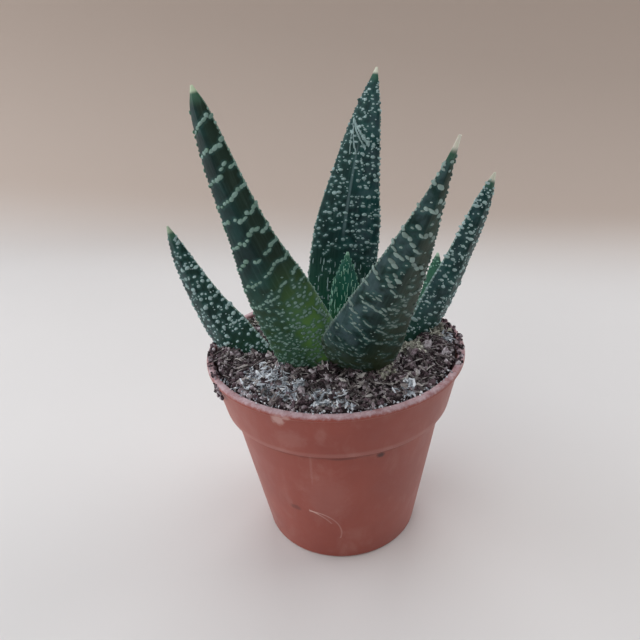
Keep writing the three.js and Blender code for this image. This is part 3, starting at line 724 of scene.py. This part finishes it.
def midline(leaf):
    """Follows a leaf's midline and gives its place, frame and half width at any distance."""
    steps = LEAF["midline_steps"]
    length = leaf["length"]
    places = [Vector(leaf["base"])]
    for i in range(steps):
        places.append(places[-1] + heading(leaf, (i + 0.5) / steps)[0] * length / steps)
    width_at = smooth_through(WIDTH_STATIONS, (*leaf["widths"], LEAF["tip_width"]))

    def at(distance):
        share = min(max(distance / length, 0), 1)
        along, out, side = heading(leaf, share)
        step = min(int(share * steps), steps - 1)
        centre = places[step].lerp(places[step + 1], share * steps - step)
        centre += along * (min(distance, 0) + max(distance - length, 0))
        return {"centre": centre, "along": along, "out": out, "side": side, "share": share,
                "half_width": width_at(share) / 2}

    return at


def section_at(share, across, outer):
    """Height and lean of a leaf's section at a place across it, for half a width of 1."""
    towards_tip = share ** 3
    arch = math.sqrt(max(1e-6, 1 - across * across))
    if not outer:
        bulge = lerp(SECTION["inner_bulge"], SECTION["tip_inner_bulge"], towards_tip)
        return bulge * arch, bulge * across / arch
    bulge = lerp(SECTION["outer_bulge"], SECTION["tip_outer_bulge"], towards_tip)
    keel_rise = SECTION["keel_full"] - SECTION["keel_from"]
    grown_share = min(max((share - SECTION["keel_from"]) / keel_rise, 0), 1)
    keel = SECTION["keel"] * grown_share ** 2 * (3 - 2 * grown_share)
    return (bulge * lerp(arch, 1 - abs(across), keel),
            bulge * lerp(across / arch, math.copysign(1, across), keel))


def skin_place(place, across, outer):
    """The point of the skin at a place across the leaf, the way it faces, and the way across."""
    height, lean = section_at(place["share"], across, outer)
    away = place["out"] if outer else -place["out"]
    point = place["centre"] + (place["side"] * across + away * height) * place["half_width"]
    facing = (place["side"] * lean + away).normalized()
    return point, facing, place["along"].cross(facing).normalized()


def across_steps(half_width, spacing, start):
    """Places from margin to margin of a face, this far apart along the skin."""
    angle = start * spacing / half_width
    places = []
    while angle < math.pi:
        places.append(-math.cos(angle))
        speed = math.hypot(math.sin(angle), SECTION["outer_bulge"] * math.cos(angle))
        angle += spacing / (half_width * speed)
    return places


def one_wart(distance, across, outer, half_across, half_along, height, slope=0):
    """A wart's place and size; it lies askew by `slope` millimetres up the leaf to each one across."""
    return {"distance": distance, "across": across, "outer": outer,
            "size": (half_across, half_along, height), "slope": slope}


def slimmed(half_width, small_leaf):
    """How much of their size warts keep where the leaf is narrow."""
    least, gain_width = small_leaf
    return min(1, least + half_width / gain_width)


def band_warts(leaf, bands, at, draw):
    """Cross bands of warts that run together; low on the leaf they part into closer rows of dots."""
    warts = []
    middle = leaf["buried"]
    row = 0
    while middle < leaf["length"] * BAND["last_at"]:
        place = at(middle)
        share, half_width = place["share"], place["half_width"]
        broken = share < bands["broken_below"]
        spacing = BAND["dot_spacing"] if broken else BAND["spacing"]
        stout = lerp(*bands["stout"], share) * slimmed(half_width, BAND["small_leaf"])
        for across in across_steps(half_width, spacing, draw.random()):
            slope = (lerp(*bands["tilt"], share)
                     + math.copysign(1, across) * lerp(*bands["vee"], share))
            shift = half_width * slope * across
            shift += bands["wave"] * math.sin(across * math.pi + row * BAND["turn"])
            if broken:
                size = draw.uniform(*BAND["dot_radius"])
                shift += draw.uniform(-1, 1) * BAND["dot_jitter"]
                sideways = draw.uniform(-BAND["dot_sideways"], BAND["dot_sideways"])
                warts.append(one_wart(
                    middle + shift, across + sideways, True,
                    size * draw.uniform(*BAND["dot_stretch"]), size, size * DOT["rise"]))
                continue
            reach = across * half_width
            apart = row * BAND["row_apart"]
            strength = 0.5 + 0.5 * rippled(reach, apart, bands["patch_size"], leaf["seed"])
            if strength < lerp(*bands["gaps"], share):
                continue
            shift += bands["wander"] * rippled(reach, apart, BAND["wander_size"], leaf["seed"] + 0.5)
            shift += draw.uniform(-1, 1) * bands["jitter"]
            full = stout * lerp(*BAND["uneven"], min(strength, 1))
            most = BAND["past_margin"] + half_width * (1 - abs(across))
            warts.append(one_wart(
                middle + shift, across, True, min(full * draw.uniform(*bands["half_across"]), most),
                full * draw.uniform(*BAND["half_along"]), full * draw.uniform(*BAND["height"]), slope))
        middle += bands["broken_pitch"] if broken else bands["pitch"]
        row += 1
    return warts


def dot_warts(leaf, at, draw, outer, style):
    """Single warts in rough rows across one face of a leaf."""
    warts = []
    middle = leaf["buried"]
    row = 0
    while middle < leaf["length"] * DOT["last_at"]:
        place = at(middle)
        spacing = lerp(*style["spacing"], place["share"])
        for across in across_steps(place["half_width"], spacing, draw.random()):
            if draw.random() > style["filled"][row % 2]:
                continue
            size = draw.uniform(*style["radius"]) * slimmed(place["half_width"], DOT["small_leaf"])
            wide, long = DASH if place["share"] < style.get("dashed_below", 0) else style["stretch"]
            sideways = draw.uniform(-DOT["sideways"], DOT["sideways"]) * spacing
            strayed = across + sideways / max(place["half_width"], 1)
            warts.append(one_wart(
                middle + draw.uniform(-1, 1) * style["scatter"],
                min(max(strayed, -DOT["across"]), DOT["across"]), outer,
                size * wide * draw.uniform(*DOT["wide"]), size * long * draw.uniform(*DOT["long"]),
                size * DOT["rise"]))
        middle += style["pitch"]
        row += 1
    return warts


def speck_warts(leaf, at, draw, outer, style):
    """Tiny warts strewn at random over one face, so many to the square millimetre."""
    start, end = leaf["buried"], leaf["length"] * SPECK["last_at"]
    widest = max(leaf["widths"]) / 2
    most = max(style["specks"])
    warts = []
    for _ in range(round(most * 2 * widest * (end - start))):
        distance = draw.uniform(start, end)
        across = draw.uniform(-SPECK["across"], SPECK["across"])
        place = at(distance)
        wanted = lerp(*style["specks"], place["share"] ** 2) * place["half_width"]
        if draw.random() * most * widest > wanted:
            continue
        size = draw.uniform(*style["speck_radius"])
        warts.append(one_wart(distance, across, outer, size * draw.uniform(*SPECK["stretch"]), size,
                              size * SPECK["rise"]))
    return warts


def margin_warts(leaf, at, draw):
    """A row of fine teeth-like warts down both margins."""
    warts = []
    wide, long = MARGIN["stretch"]
    for across in (-MARGIN["across"], MARGIN["across"]):
        distance = leaf["buried"]
        while distance < leaf["length"] * MARGIN["last_at"]:
            size = draw.uniform(*MARGIN["radius"])
            warts.append(one_wart(distance, across, True, size * wide, size * long, size))
            distance += draw.uniform(*MARGIN["apart"])
    return warts


def streak_warts(draw, start, end, outer, half_width):
    """A thin pale scar, as a line of drawn-out grains."""
    count = round(abs(end[0] - start[0]) / STREAK["apart"])
    warts = []
    for i in range(count + 1):
        distance, across = [lerp(first, last, i / count) for first, last in zip(start, end)]
        size = half_width * draw.uniform(*STREAK["uneven"])
        warts.append(one_wart(distance, across, outer, size, STREAK["stretch"] * size, size))
    return warts


def midline_mesh(leaf, at):
    """The midline as a row of points that carry the leaf's frame and widths."""
    start = -LEAF["root_length"]
    count = round((leaf["length"] - start) / LEAF["ring_step"])
    distances = [lerp(start, leaf["length"], i / count) for i in range(count + 1)]
    places = [at(distance) for distance in distances]
    mesh = mesh_of("midline", [place["centre"] for place in places],
                   edges=[(i, i + 1) for i in range(count)])
    for name in ("side", "out"):
        mark(mesh, name, [place[name] for place in places], "FLOAT_VECTOR")
    mark(mesh, "half_width", [place["half_width"] * MM for place in places])
    mark(mesh, "share", [place["share"] for place in places])
    mark(mesh, "from_soil", [(distance - leaf["buried"]) * MM for distance in distances])
    mark(mesh, "to_tip", [(leaf["length"] - distance) * MM for distance in distances])
    return mesh


def wart_points(leaf, look, at, warts, draw):
    """The warts' places as bare points that carry their size and the way they stand."""
    places = [at(wart["distance"]) for wart in warts]
    points, facing, crossways = zip(*[
        skin_place(place, wart["across"], wart["outer"]) for place, wart in zip(places, warts)])
    askew = [way + place["along"] * wart["slope"]
             for way, place, wart in zip(crossways, places, warts)]
    tones = []
    for wart, place in zip(warts, places):
        weathered = look["weathered"] * max(wart["across"], 0) * (1 - place["share"])
        white = lerp(*look["whiteness"], place["share"])
        tones.append(draw.uniform(*TONES) * white * (1 - weathered))
    mesh = mesh_of("warts", points)
    mark(mesh, "facing", facing, "FLOAT_VECTOR")
    mark(mesh, "crossways", askew, "FLOAT_VECTOR")
    mark(mesh, "size", [Vector(wart["size"]) * MM for wart in warts], "FLOAT_VECTOR")
    mark(mesh, "from_soil", [(wart["distance"] - leaf["buried"]) * MM for wart in warts])
    mark(mesh, "to_tip", [(leaf["length"] - wart["distance"]) * MM for wart in warts])
    mark(mesh, "tone", tones)
    return in_scene("warts", mesh)


def leaf_tree():
    """Sweeps a leaf's section along its midline, and sets a dome on each of its wart points."""
    tree, given = new_tree("leaf_with_warts", {
        "Object": ["Warts"], "Int": ["Columns", "Rings"], "Material": ["Skin", "Wart"],
        "Float": ["Outer bulge", "Tip outer bulge", "Inner bulge", "Tip inner bulge", "Keel", "Keel from",
                  "Keel full", "Uneven", "Uneven scale", "Knock", "Knock scale", "Large wart"]})

    # A round tube of the right count of rings, whose points are then moved to the leaf's skin.
    last_ring = add(tree, "Math", given["Rings"], 1, **LESS)
    skin = add(tree, "MeshCylinder", fill_type="TRIANGLE_FAN", Vertices=given["Columns"],
               Side_Segments=last_ring, Radius=1, Depth=1)
    across, turn_y, rung = add(tree, "SeparateXYZ", add(tree, "InputPosition")).outputs
    off_middle, arch = [add(tree, "Math", value, **SIZELESS) for value in (across, turn_y)]
    on_wall = add(tree, "Math", add(tree, "Math", off_middle, arch), 0.5, **OVER)
    ring = add(tree, "Math", add(tree, "Math", rung, 0.5), last_ring, **TIMES)
    ring = add(tree, "Math", ring, operation="ROUND")

    # The frame and widths of the midline's point that the ring belongs to.
    carried = []
    for name, kind in (("side", "FLOAT_VECTOR"), ("out", "FLOAT_VECTOR"), ("half_width", "FLOAT"),
                       ("share", "FLOAT"), ("from_soil", "FLOAT"), ("to_tip", "FLOAT")):
        value = add(tree, "InputNamedAttribute", name, data_type=kind)
        carried.append(add(tree, "SampleIndex", given["Geometry"], value, ring, data_type=kind))
    side, out, half_width, share, from_soil, to_tip = carried
    centre = add(tree, "SampleIndex", given["Geometry"], add(tree, "InputPosition"), ring, **VECTOR)

    # The section: a flat arch inside, and a rounder one drawn in towards a keel outside.
    outer = add(tree, "Math", turn_y, 0, **OVER)
    towards_tip = add(tree, "Math", share, 3, operation="POWER")
    outer_bulge = add(tree, "Mix", towards_tip, given["Outer bulge"], given["Tip outer bulge"])
    inner_bulge = add(tree, "Mix", towards_tip, given["Inner bulge"], given["Tip inner bulge"])
    bulge = add(tree, "Mix", outer, inner_bulge, outer_bulge)
    keel = add(tree, "MapRange", share, given["Keel from"], given["Keel full"], To_Max=given["Keel"],
               **SMOOTH)
    keel = add(tree, "Math", keel, outer, **TIMES)
    height = add(tree, "Mix", keel, arch, add(tree, "Math", 1, off_middle, **LESS))
    height = add(tree, "Math", height, bulge, **TIMES)
    height = add(tree, "Math", height, add(tree, "Math", turn_y, operation="SIGN"), **TIMES)
    reach = add(tree, "Math", half_width, on_wall, **TIMES)
    sideways = add(tree, "Math", across, reach, **TIMES)
    outwards = add(tree, "Math", height, reach, **TIMES)
    moved = add(tree, "VectorMath", add(tree, "VectorMath", side, sideways, operation="SCALE"),
                add(tree, "VectorMath", out, outwards, operation="SCALE"))
    moved = add(tree, "VectorMath", centre, moved)

    for name, value in (("across", across), ("outer", outer), ("girth", sideways),
                        ("from_soil", from_soil), ("to_tip", to_tip)):
        skin = add(tree, "StoreNamedAttribute", skin, Name=name, Value=value)
    skin = add(tree, "SetPosition", skin, Position=moved)
    swell = add(tree, "TexNoise", Scale=given["Uneven scale"], Detail=2)
    swell = add(tree, "Math", add(tree, "Math", swell, 0.5, **LESS), given["Uneven"], **TIMES)
    swell = add(tree, "VectorMath", add(tree, "InputNormal"), swell, operation="SCALE")
    skin = add(tree, "SetPosition", skin, Offset=swell)

    # The skin knows how far it is from the nearest large wart, so that it can pale there.
    facing, crossways, size = [
        add(tree, "InputNamedAttribute", name, **VECTOR) for name in ("facing", "crossways", "size")]
    bare_warts = add(tree, "ObjectInfo", given["Warts"]).outputs["Geometry"]
    large = add(tree, "Math", add(tree, "SeparateXYZ", size), given["Large wart"], **OVER)
    large = add(tree, "SeparateGeometry", bare_warts, large, domain="POINT")
    from_wart = add(tree, "Proximity", large, target_element="POINTS").outputs["Distance"]
    skin = add(tree, "StoreNamedAttribute", skin, Name="from_wart", Value=from_wart)

    # Each wart is a dome of a few faces, sunk to its middle in the skin.
    crest = add(tree, "SeparateXYZ", add(tree, "InputPosition")).outputs["Z"]
    dome = add(tree, "MeshUVSphere", Segments=8, Rings=6, Radius=1)
    dome = add(tree, "StoreNamedAttribute", dome, Name="crest", Value=crest)
    turned_up = add(tree, "AxesToRotation", facing, crossways, primary_axis="Z", secondary_axis="X")
    warts = add(tree, "InstanceOnPoints", Points=bare_warts, Instance=dome, Rotation=turned_up,
                Scale=size)
    warts = add(tree, "StoreNamedAttribute", warts, Name="is_wart", Value=1.0, domain="INSTANCE")
    warts = knocked(tree, add(tree, "RealizeInstances", warts), given["Knock"],
                    Scale=given["Knock scale"], Detail=1)

    whole = add(tree, "JoinGeometry", warts)
    feed(whole, {0: skin})
    whole = add(tree, "SetShadeSmooth", add(tree, "RealizeInstances", whole))
    whole = add(tree, "SetMaterial", whole, Material=given["Skin"])
    is_wart = add(tree, "Math", add(tree, "InputNamedAttribute", "is_wart"), 0.5, **OVER)
    add(tree, "GroupOutput", add(tree, "SetMaterial", whole, is_wart, given["Wart"]))
    return tree


def make_leaves():
    warts = {
        "bright": wart_skin("chalky haworthia wart", "b4cfce", "375a57"),
        "earthy": wart_skin("weathered haworthia wart", "a5c0ba", "36483f"),
        "muted": wart_skin("greyed haworthia wart", "97b5b0", "3c624b"),
        "fresh": wart_skin("fresh haworthia wart", "9ccdb8", "3f7a62"),
    }
    tree = leaf_tree()
    section = {key.replace("_", " ").capitalize(): value for key, value in SECTION.items()}
    for name, leaf in LEAVES.items():
        look = LOOKS[name]
        draw = random.Random(leaf["seed"])
        at = midline(leaf)
        placed = margin_warts(leaf, at, draw)
        for outer, style in zip((False, True), STYLES[name]):
            if "pitch" in style:
                placed += dot_warts(leaf, at, draw, outer, style)
            placed += speck_warts(leaf, at, draw, outer, style)
        if name in BANDS:
            placed += band_warts(leaf, BANDS[name], at, draw)
        for streak in STREAKS.get(name, ()):
            placed += streak_warts(draw, *streak)
        spine = midline_mesh(leaf, at)
        points = wart_points(leaf, look, at, placed, draw)
        mesh = grown(name, spine, tree, {
            "Warts": points, "Columns": LEAF["columns"], "Rings": len(spine.vertices), **section,
            "Uneven": LEAF["uneven"] * MM, "Uneven scale": per(LEAF["uneven_size"]),
            "Knock": LEAF["knock"] * MM, "Knock scale": per(LEAF["knock_size"]),
            "Large wart": LEAF["large_wart"] * MM,
            "Skin": leaf_skin(name.replace("_", " ") + " skin", look),
            "Wart": warts[look["wart"]],
        })
        bpy.data.objects.remove(points)
        piece = piece_of(mesh, name.replace("leaf_", "warted_leaf_"), smooth=False)
        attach(piece, "root")
        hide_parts(name)


# ---------------------------------------------------------------------------------------- soil


def soil_height(x, y):
    height = SOIL["level"]
    for at, rise, spread in HEAPS:
        away = math.hypot(x - at[0], y - at[1]) / spread
        height += rise * math.exp(-away * away)
    height += SOIL["clod_height"] * rippled(x, y, SOIL["clod_size"], SOIL["clod_seed"])
    return height + SOIL["crumb_height"] * rippled(x, y, SOIL["crumb_size"], SOIL["crumb_seed"])


def patch_share(patches, x, y):
    """How much of a patch lies here: 1 in its middle, ragged at its edge, 0 away from it."""
    best = 0
    for at, radius in patches:
        away = math.hypot(x - at[0], y - at[1]) / radius
        ragged = away + PATCH["ragged"] * rippled(x, y, PATCH["ragged_size"], PATCH["seed"])
        best = max(best, min(max((PATCH["edge"] - ragged) / PATCH["fade"], 0), 1))
    return best


def soil_mesh():
    """The soil as one closed body: flat floor, the pot's inside for its wall, and a crumbly top."""
    gap, wall, segments = SOIL["clearance"], POT["wall"], SOIL["segments"]
    floor = POT["floor_top"] + gap
    floor_share = POT["floor_top"] / POT["collar_bottom"]
    step = POT["collar_bottom"] + wall
    rim = POT["rim_radius"] - POT["lip_overhang"] - wall - gap
    side = [
        (lerp(POT["base_radius"], POT["body_top_radius"], floor_share) - wall - gap, floor),
        (POT["body_top_radius"] - wall - gap, step),
        (POT["collar_bottom_radius"] - wall - gap, step + POT["step_slope"]),
    ]
    angles = [2 * math.pi * i / segments for i in range(segments)]
    points = [(0, 0, floor)]
    for radius, height in side:
        points += [(radius * math.cos(a), radius * math.sin(a), height) for a in angles]
    top_starts = len(points)
    for ring in range(SOIL["rings"]):
        radius = (rim - SOIL["edge_inset"]) * (1 - ring / SOIL["rings"])
        for a in angles:
            x, y = radius * math.cos(a), radius * math.sin(a)
            points.append((x, y, soil_height(x, y)))
    points.append((0, 0, soil_height(0, 0)))
    rings = len(side) + SOIL["rings"]
    last = 1 + (rings - 1) * segments
    faces = []
    for i in range(segments):
        j = (i + 1) % segments
        faces.append((0, 1 + j, 1 + i))
        for ring in range(rings - 1):
            low, high = 1 + ring * segments, 1 + (ring + 1) * segments
            faces.append((low + i, low + j, high + j, high + i))
        faces.append((last + i, last + j, len(points) - 1))
    mesh = mesh_of("soil", points, faces)
    # Only the top inside the outermost ring carries crumbs, grit and clods.
    on_top = [i >= top_starts + segments for i in range(len(points))]
    mark(mesh, "crumbly", [1.0 if top else 0.0 for top in on_top])
    for name, patches in (("mineral", MINERAL_PATCHES), ("tan", TAN_PATCHES)):
        mark(mesh, name, [patch_share(patches, x, y) if top else 0.0
                          for top, (x, y, _) in zip(on_top, points)])
    mark(mesh, "tone", [
        lerp(*SOIL["tone"], (1 + rippled(x, y, SOIL["tone_size"], SOIL["tone_seed"])) / 2)
        for x, y, _ in points])
    return mesh


def scatter_tree(name, shapes):
    """Strews small shapes over the part of a mesh that carries the named mark."""
    tree, given = new_tree(name, {
        "String": ["Mark"], "Int": ["Seed", "Facets"], "Material": ["Material"],
        "Float": ["Density", "Smallest", "Largest", "Commonness", "Tumble", "Lift", "Raggedness"]})
    seed = given["Seed"]
    tumble_seed, spin_seed, tone_seed = [add(tree, "Math", seed, step) for step in (7, 13, 29)]
    share = add(tree, "InputNamedAttribute", given["Mark"])
    spots = add(tree, "DistributePointsOnFaces", given["Geometry"], Seed=seed,
                Density=add(tree, "Math", share, given["Density"], **TIMES))
    kinds = add(tree, "JoinGeometry")
    for shape in shapes(tree, given):
        feed(kinds, {0: add(tree, "GeometryToInstance", shape)})
    chance = add(tree, "RandomValue", Seed=seed)
    chance = add(tree, "Math", chance, given["Commonness"], operation="POWER")
    size = add(tree, "Mix", chance, given["Smallest"], given["Largest"])
    tumble = add(tree, "RandomValue", Min=(-1, -1, -1), Max=(1, 1, 1), Seed=tumble_seed, **VECTOR)
    tumble = add(tree, "VectorMath", tumble, given["Tumble"], operation="SCALE")
    spin = add(tree, "RandomValue", Min=(0, 0, -math.pi), Max=(0, 0, math.pi), Seed=spin_seed, **VECTOR)
    strewn = add(tree, "InstanceOnPoints", Points=spots, Instance=kinds, Pick_Instance=True,
                 Rotation=add(tree, "VectorMath", tumble, spin), Scale=size)
    lift = add(tree, "CombineXYZ", Z=add(tree, "Math", size, given["Lift"], **TIMES))
    strewn = add(tree, "TranslateInstances", strewn, Translation=lift, Local_Space=False)
    strewn = add(tree, "StoreNamedAttribute", strewn, Name="tone",
                 Value=add(tree, "RandomValue", Seed=tone_seed), domain="INSTANCE")
    return finish_tree(tree, strewn, given["Material"])


def unit_ball(tree, given):
    """A ball with as many facets round it as the tree is given, and half as many over it."""
    rings = add(tree, "Math", given["Facets"], 0.5, 1, operation="MULTIPLY_ADD")
    return add(tree, "MeshUVSphere", Segments=given["Facets"], Rings=rings, Radius=1)


def crumb_shapes(tree, given):
    """Five irregular lumps of one unit's radius, each knocked about by its own noise."""
    ball = unit_ball(tree, given)
    for variant in range(5):
        lump = knocked(tree, ball, given["Raggedness"], noise_dimensions="4D", W=5.3 * variant,
                       Scale=1.1, Detail=3, Roughness=0.7)
        yield add(tree, "Transform", lump,
                  Scale=(1, lerp(0.6, 0.95, variant / 4), lerp(0.75, 0.45, variant / 4)))


def sliver_shapes(tree, given):
    """Five flat slivers of one unit's half length, ragged like torn moss and bark."""
    ball = unit_ball(tree, given)
    for variant in range(5):
        share = variant / 4
        thin = add(tree, "Transform", ball, Scale=(1, lerp(0.16, 0.36, share), lerp(0.14, 0.1, share)))
        yield knocked(tree, thin, given["Raggedness"], noise_dimensions="4D", W=3.7 * variant,
                      Scale=1.3, Detail=2, Roughness=0.6)


def fibre_shapes(tree, given):
    """Four slightly bent threads, two units long and a tenth to a fifth of a unit thick."""
    for variant in range(4):
        bend = lerp(-0.35, 0.45, variant / 3)
        thread = add(tree, "CurvePrimitiveBezierSegment", Resolution=given["Facets"],
                     Start=(-1, 0, 0.05), End=(1, 0.3 * bend, -0.05),
                     Start_Handle=(-0.4, bend, 0.2), End_Handle=(0.5, -bend * 0.8, 0.15))
        section = add(tree, "CurvePrimitiveCircle", Resolution=5, Radius=lerp(0.05, 0.11, variant / 3))
        yield add(tree, "CurveToMesh", thread, section, Fill_Caps=True)


def annulus_patch(azimuths, radii, heights):
    """A patch of a cone round the pot's axis, for crumbs to lie on."""
    steps = 16
    points = []
    for i in range(steps + 1):
        angle = math.radians(lerp(*azimuths, i / steps))
        for radius, height in zip(radii, heights):
            points.append((radius * math.cos(angle), radius * math.sin(angle), height))
    faces = [(2 * i, 2 * i + 1, 2 * i + 3, 2 * i + 2) for i in range(steps)]
    mesh = mesh_of("patch", points, faces)
    mark(mesh, "crumbly", [1.0] * len(points))
    return mesh


def make_soil():
    peat = crumb_material("moist peat, fibrous crumbs", (
        (0.0, "1a1416"), (0.3, "3a2d31"), (0.55, "6a575e"), (0.8, "9c8e94"), (1.0, "cac4c8")), 0.7, 0.95)
    threads = crumb_material("dry peat fibre", (
        (0.0, "2c2526"), (0.4, "665b5c"), (0.75, "9a9290"), (1.0, "c8c4c0")), 0.6, 0.9)
    mineral = crumb_material("limewashed mineral grit", (
        (0.0, "7b8189"), (0.35, "b7bfc8"), (0.7, "e2e8ef"), (1.0, "fafcff")), 0.4, 0.8)
    coir = crumb_material("buff coir clods", (
        (0.0, "5d5c53"), (0.45, "a2a194"), (0.8, "cfcebf"), (1.0, "eeede2")), 0.5, 0.9)
    crumbs = scatter_tree("strewn_crumbs", crumb_shapes)
    slivers = scatter_tree("strewn_slivers", sliver_shapes)
    fibres = scatter_tree("strewn_fibres", fibre_shapes)

    # The beds: the soil, a ring inside the lip, the lip's left, right and front, and a spot below it.
    ground = soil_mesh()
    rim, top = POT["rim_radius"], POT["height"]
    inside = annulus_patch((0, 360), (rim - 3.1, rim - 2.1), (top - 0.4, top - 0.2))
    left, right = [annulus_patch(azimuths, (rim - 1.8, rim - 0.2), (top, top))
                   for azimuths in ((-206, -150), (-26, 30))]
    under = annulus_patch((-153, -146), (rim - 0.5, rim), (40.8, 44.0))
    front = annulus_patch((-150, -30), (rim - 2.2, rim - 0.9), (top, top))
    # Name, bed, shapes, material, mark, pieces to the square millimetre, smallest and largest radius
    # or half length, commonness of small ones, tumble, lift, raggedness and facets.
    spilt = (0.15, 0.62, 1.6, 3.1, 0.3, 1.6, 6)
    plans = (
        ("peat_lumps", ground, crumbs, peat, "crumbly", 0.04, 0.7, 1.3, 1.5, 3.1, 0.05, 1.6, 16),
        ("peat_crumbs", ground, crumbs, peat, "crumbly", 0.5, 0.3, 0.85, 1.8, 3.1, 0.2, 1.8, 8),
        ("peat_flakes", ground, crumbs, peat, "crumbly", 2.4, 0.2, 0.6, 1.5, 3.1, 0.5, 1.6, 5),
        ("peat_dust", ground, crumbs, peat, "crumbly", 3.3, 0.1, 0.3, 1.3, 3.1, 1.0, 1.3, 5),
        ("peat_slivers", ground, slivers, threads, "crumbly", 1.3, 0.5, 1.6, 1.6, 0.7, 0.3, 0.6, 7),
        ("peat_fibres", ground, fibres, threads, "crumbly", 0.7, 0.4, 1.3, 1.8, 0.6, 0.5, 0, 5),
        ("mineral_grit", ground, crumbs, mineral, "mineral", 9.5, 0.1, 0.42, 1.7, 3.1, 1.4, 1.4, 5),
        ("mineral_slivers", ground, slivers, mineral, "mineral", 3.3, 0.35, 1.1, 1.5, 0.8, 0.9, 0.6, 7),
        ("coir_clods", ground, crumbs, coir, "tan", 2.8, 0.2, 0.8, 1.6, 3.1, 0.9, 1.8, 6),
        ("coir_slivers", ground, slivers, coir, "tan", 2.2, 0.4, 1.2, 1.4, 1.0, 0.8, 0.6, 7),
        ("crumbs_inside_lip", inside, crumbs, peat, "crumbly", 2.4, *spilt),
        ("crumbs_on_lip_left", left, crumbs, peat, "crumbly", 2.6, *spilt),
        ("crumbs_on_lip_right", right, crumbs, peat, "crumbly", 2.6, *spilt),
        ("crumbs_under_lip", under, crumbs, peat, "crumbly", 5, *spilt),
        ("grit_on_lip", front, crumbs, mineral, "crumbly", 2.2, 0.08, 0.34, 1.8, 3.1, 0.3, 1.2, 5),
    )
    for seed, (name, bed, shapes, material, where, density, *numbers) in enumerate(plans):
        smallest, largest, commonness, tumble, lift, raggedness, facets = numbers
        mesh = grown(name, bed, shapes, {
            "Mark": where, "Density": density / MM ** 2, "Seed": seed, "Smallest": smallest * MM,
            "Largest": largest * MM, "Commonness": commonness, "Tumble": tumble, "Lift": lift,
            "Raggedness": raggedness, "Facets": facets, "Material": material})
        piece = piece_of(mesh, name, smooth=False)
        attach(piece, "root")

    soil = piece_of(ground, "peat_bed", [peat])
    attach(soil, "root")
    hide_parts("soil")


# ------------------------------------------------------------------------- stage, light, camera


def make_stage():
    """A pale paper sweep: flat under the pot, curving up far behind it."""
    half_width, front, fold, bend, top, steps = 1500, -1500, 230, 130, 260, 12
    profile = [(front, 0), (fold, 0)]
    for step in range(1, steps + 1):
        angle = math.radians(90 * step / steps)
        profile.append((fold + bend * math.sin(angle), bend * (1 - math.cos(angle))))
    profile.append((fold + bend, top))
    points = [(x, y, z) for y, z in profile for x in (-half_width, half_width)]
    faces = [(2 * i, 2 * i + 1, 2 * i + 3, 2 * i + 2) for i in range(len(profile) - 1)]
    sweep = piece_of(mesh_of("paper_sweep", points, faces), "paper_sweep", [floor_paper()])


def make_lights():
    """Square soft boxes that look at the plant, and a dim even sky."""
    world = bpy.data.worlds.new("studio")
    bpy.context.scene.world = world
    world.use_nodes = True
    feed(world.node_tree.nodes["Background"], {"Color": linear("f2f4f8"), "Strength": 0.24})
    plant = Vector((0, 0, 0.05))
    for name, place, size, power, colour in (
            ("window", (-0.74, 0.18, 0.40), 0.8, 4.1, "f0f5fc"),
            ("ceiling", (0.0, 0.05, 1.0), 0.8, 1.9, "f8fafc"),
            ("far_window", (0.05, 0.8, 0.5), 0.6, 5.9, "f6f9fd"),
            ("far_wall", (0.75, 0.3, 0.35), 0.7, 3.9, "f8f8fa"),
            ("room", (-0.6, -0.6, 0.5), 0.8, 3.5, "fbf8f6")):
        light = bpy.data.lights.new(name, "AREA")
        light.size = size
        light.energy = power
        light.color = linear(colour)[:3]
        lamp = in_scene(name, light)
        lamp.location = Vector(place)
        lamp.rotation_euler = (plant - Vector(place)).to_track_quat("-Z", "Y").to_euler()


def make_camera():
    """The photo's view: a little above the leaves, looking down, slightly rolled."""
    pitch, yaw, roll = math.radians(25.8033), math.radians(-1.4440), math.radians(-3.2411)
    place = Vector((0, -114.508, 105.808)) * MM
    ahead = Vector((math.sin(yaw) * math.cos(pitch), math.cos(yaw) * math.cos(pitch), -math.sin(pitch)))
    level_right = ahead.cross(UP).normalized()
    level_up = level_right.cross(ahead)
    right = level_right * math.cos(roll) + level_up * math.sin(roll)
    up = level_up * math.cos(roll) - level_right * math.sin(roll)
    camera = bpy.data.cameras.new("camera")
    camera.sensor_width = 36
    camera.lens = 33.75
    camera.clip_start = 0.005
    camera.clip_end = 20
    seen_from = in_scene("camera", camera)
    turn = Matrix((right, up, -ahead)).transposed().to_4x4()
    seen_from.matrix_world = Matrix.Translation(place) @ turn
    bpy.context.scene.camera = seen_from


# ------------------------------------------------------------------------------------ assembly

make_camera()
make_lights()
make_stage()
make_pot()
make_leaves()
make_soil()
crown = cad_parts["crown_and_roots"]
crown.data.materials.clear()
crown.data.materials.append(root_skin())
bpy.context.scene.view_settings.view_transform = "Standard"

bpy.context.view_layer.update()
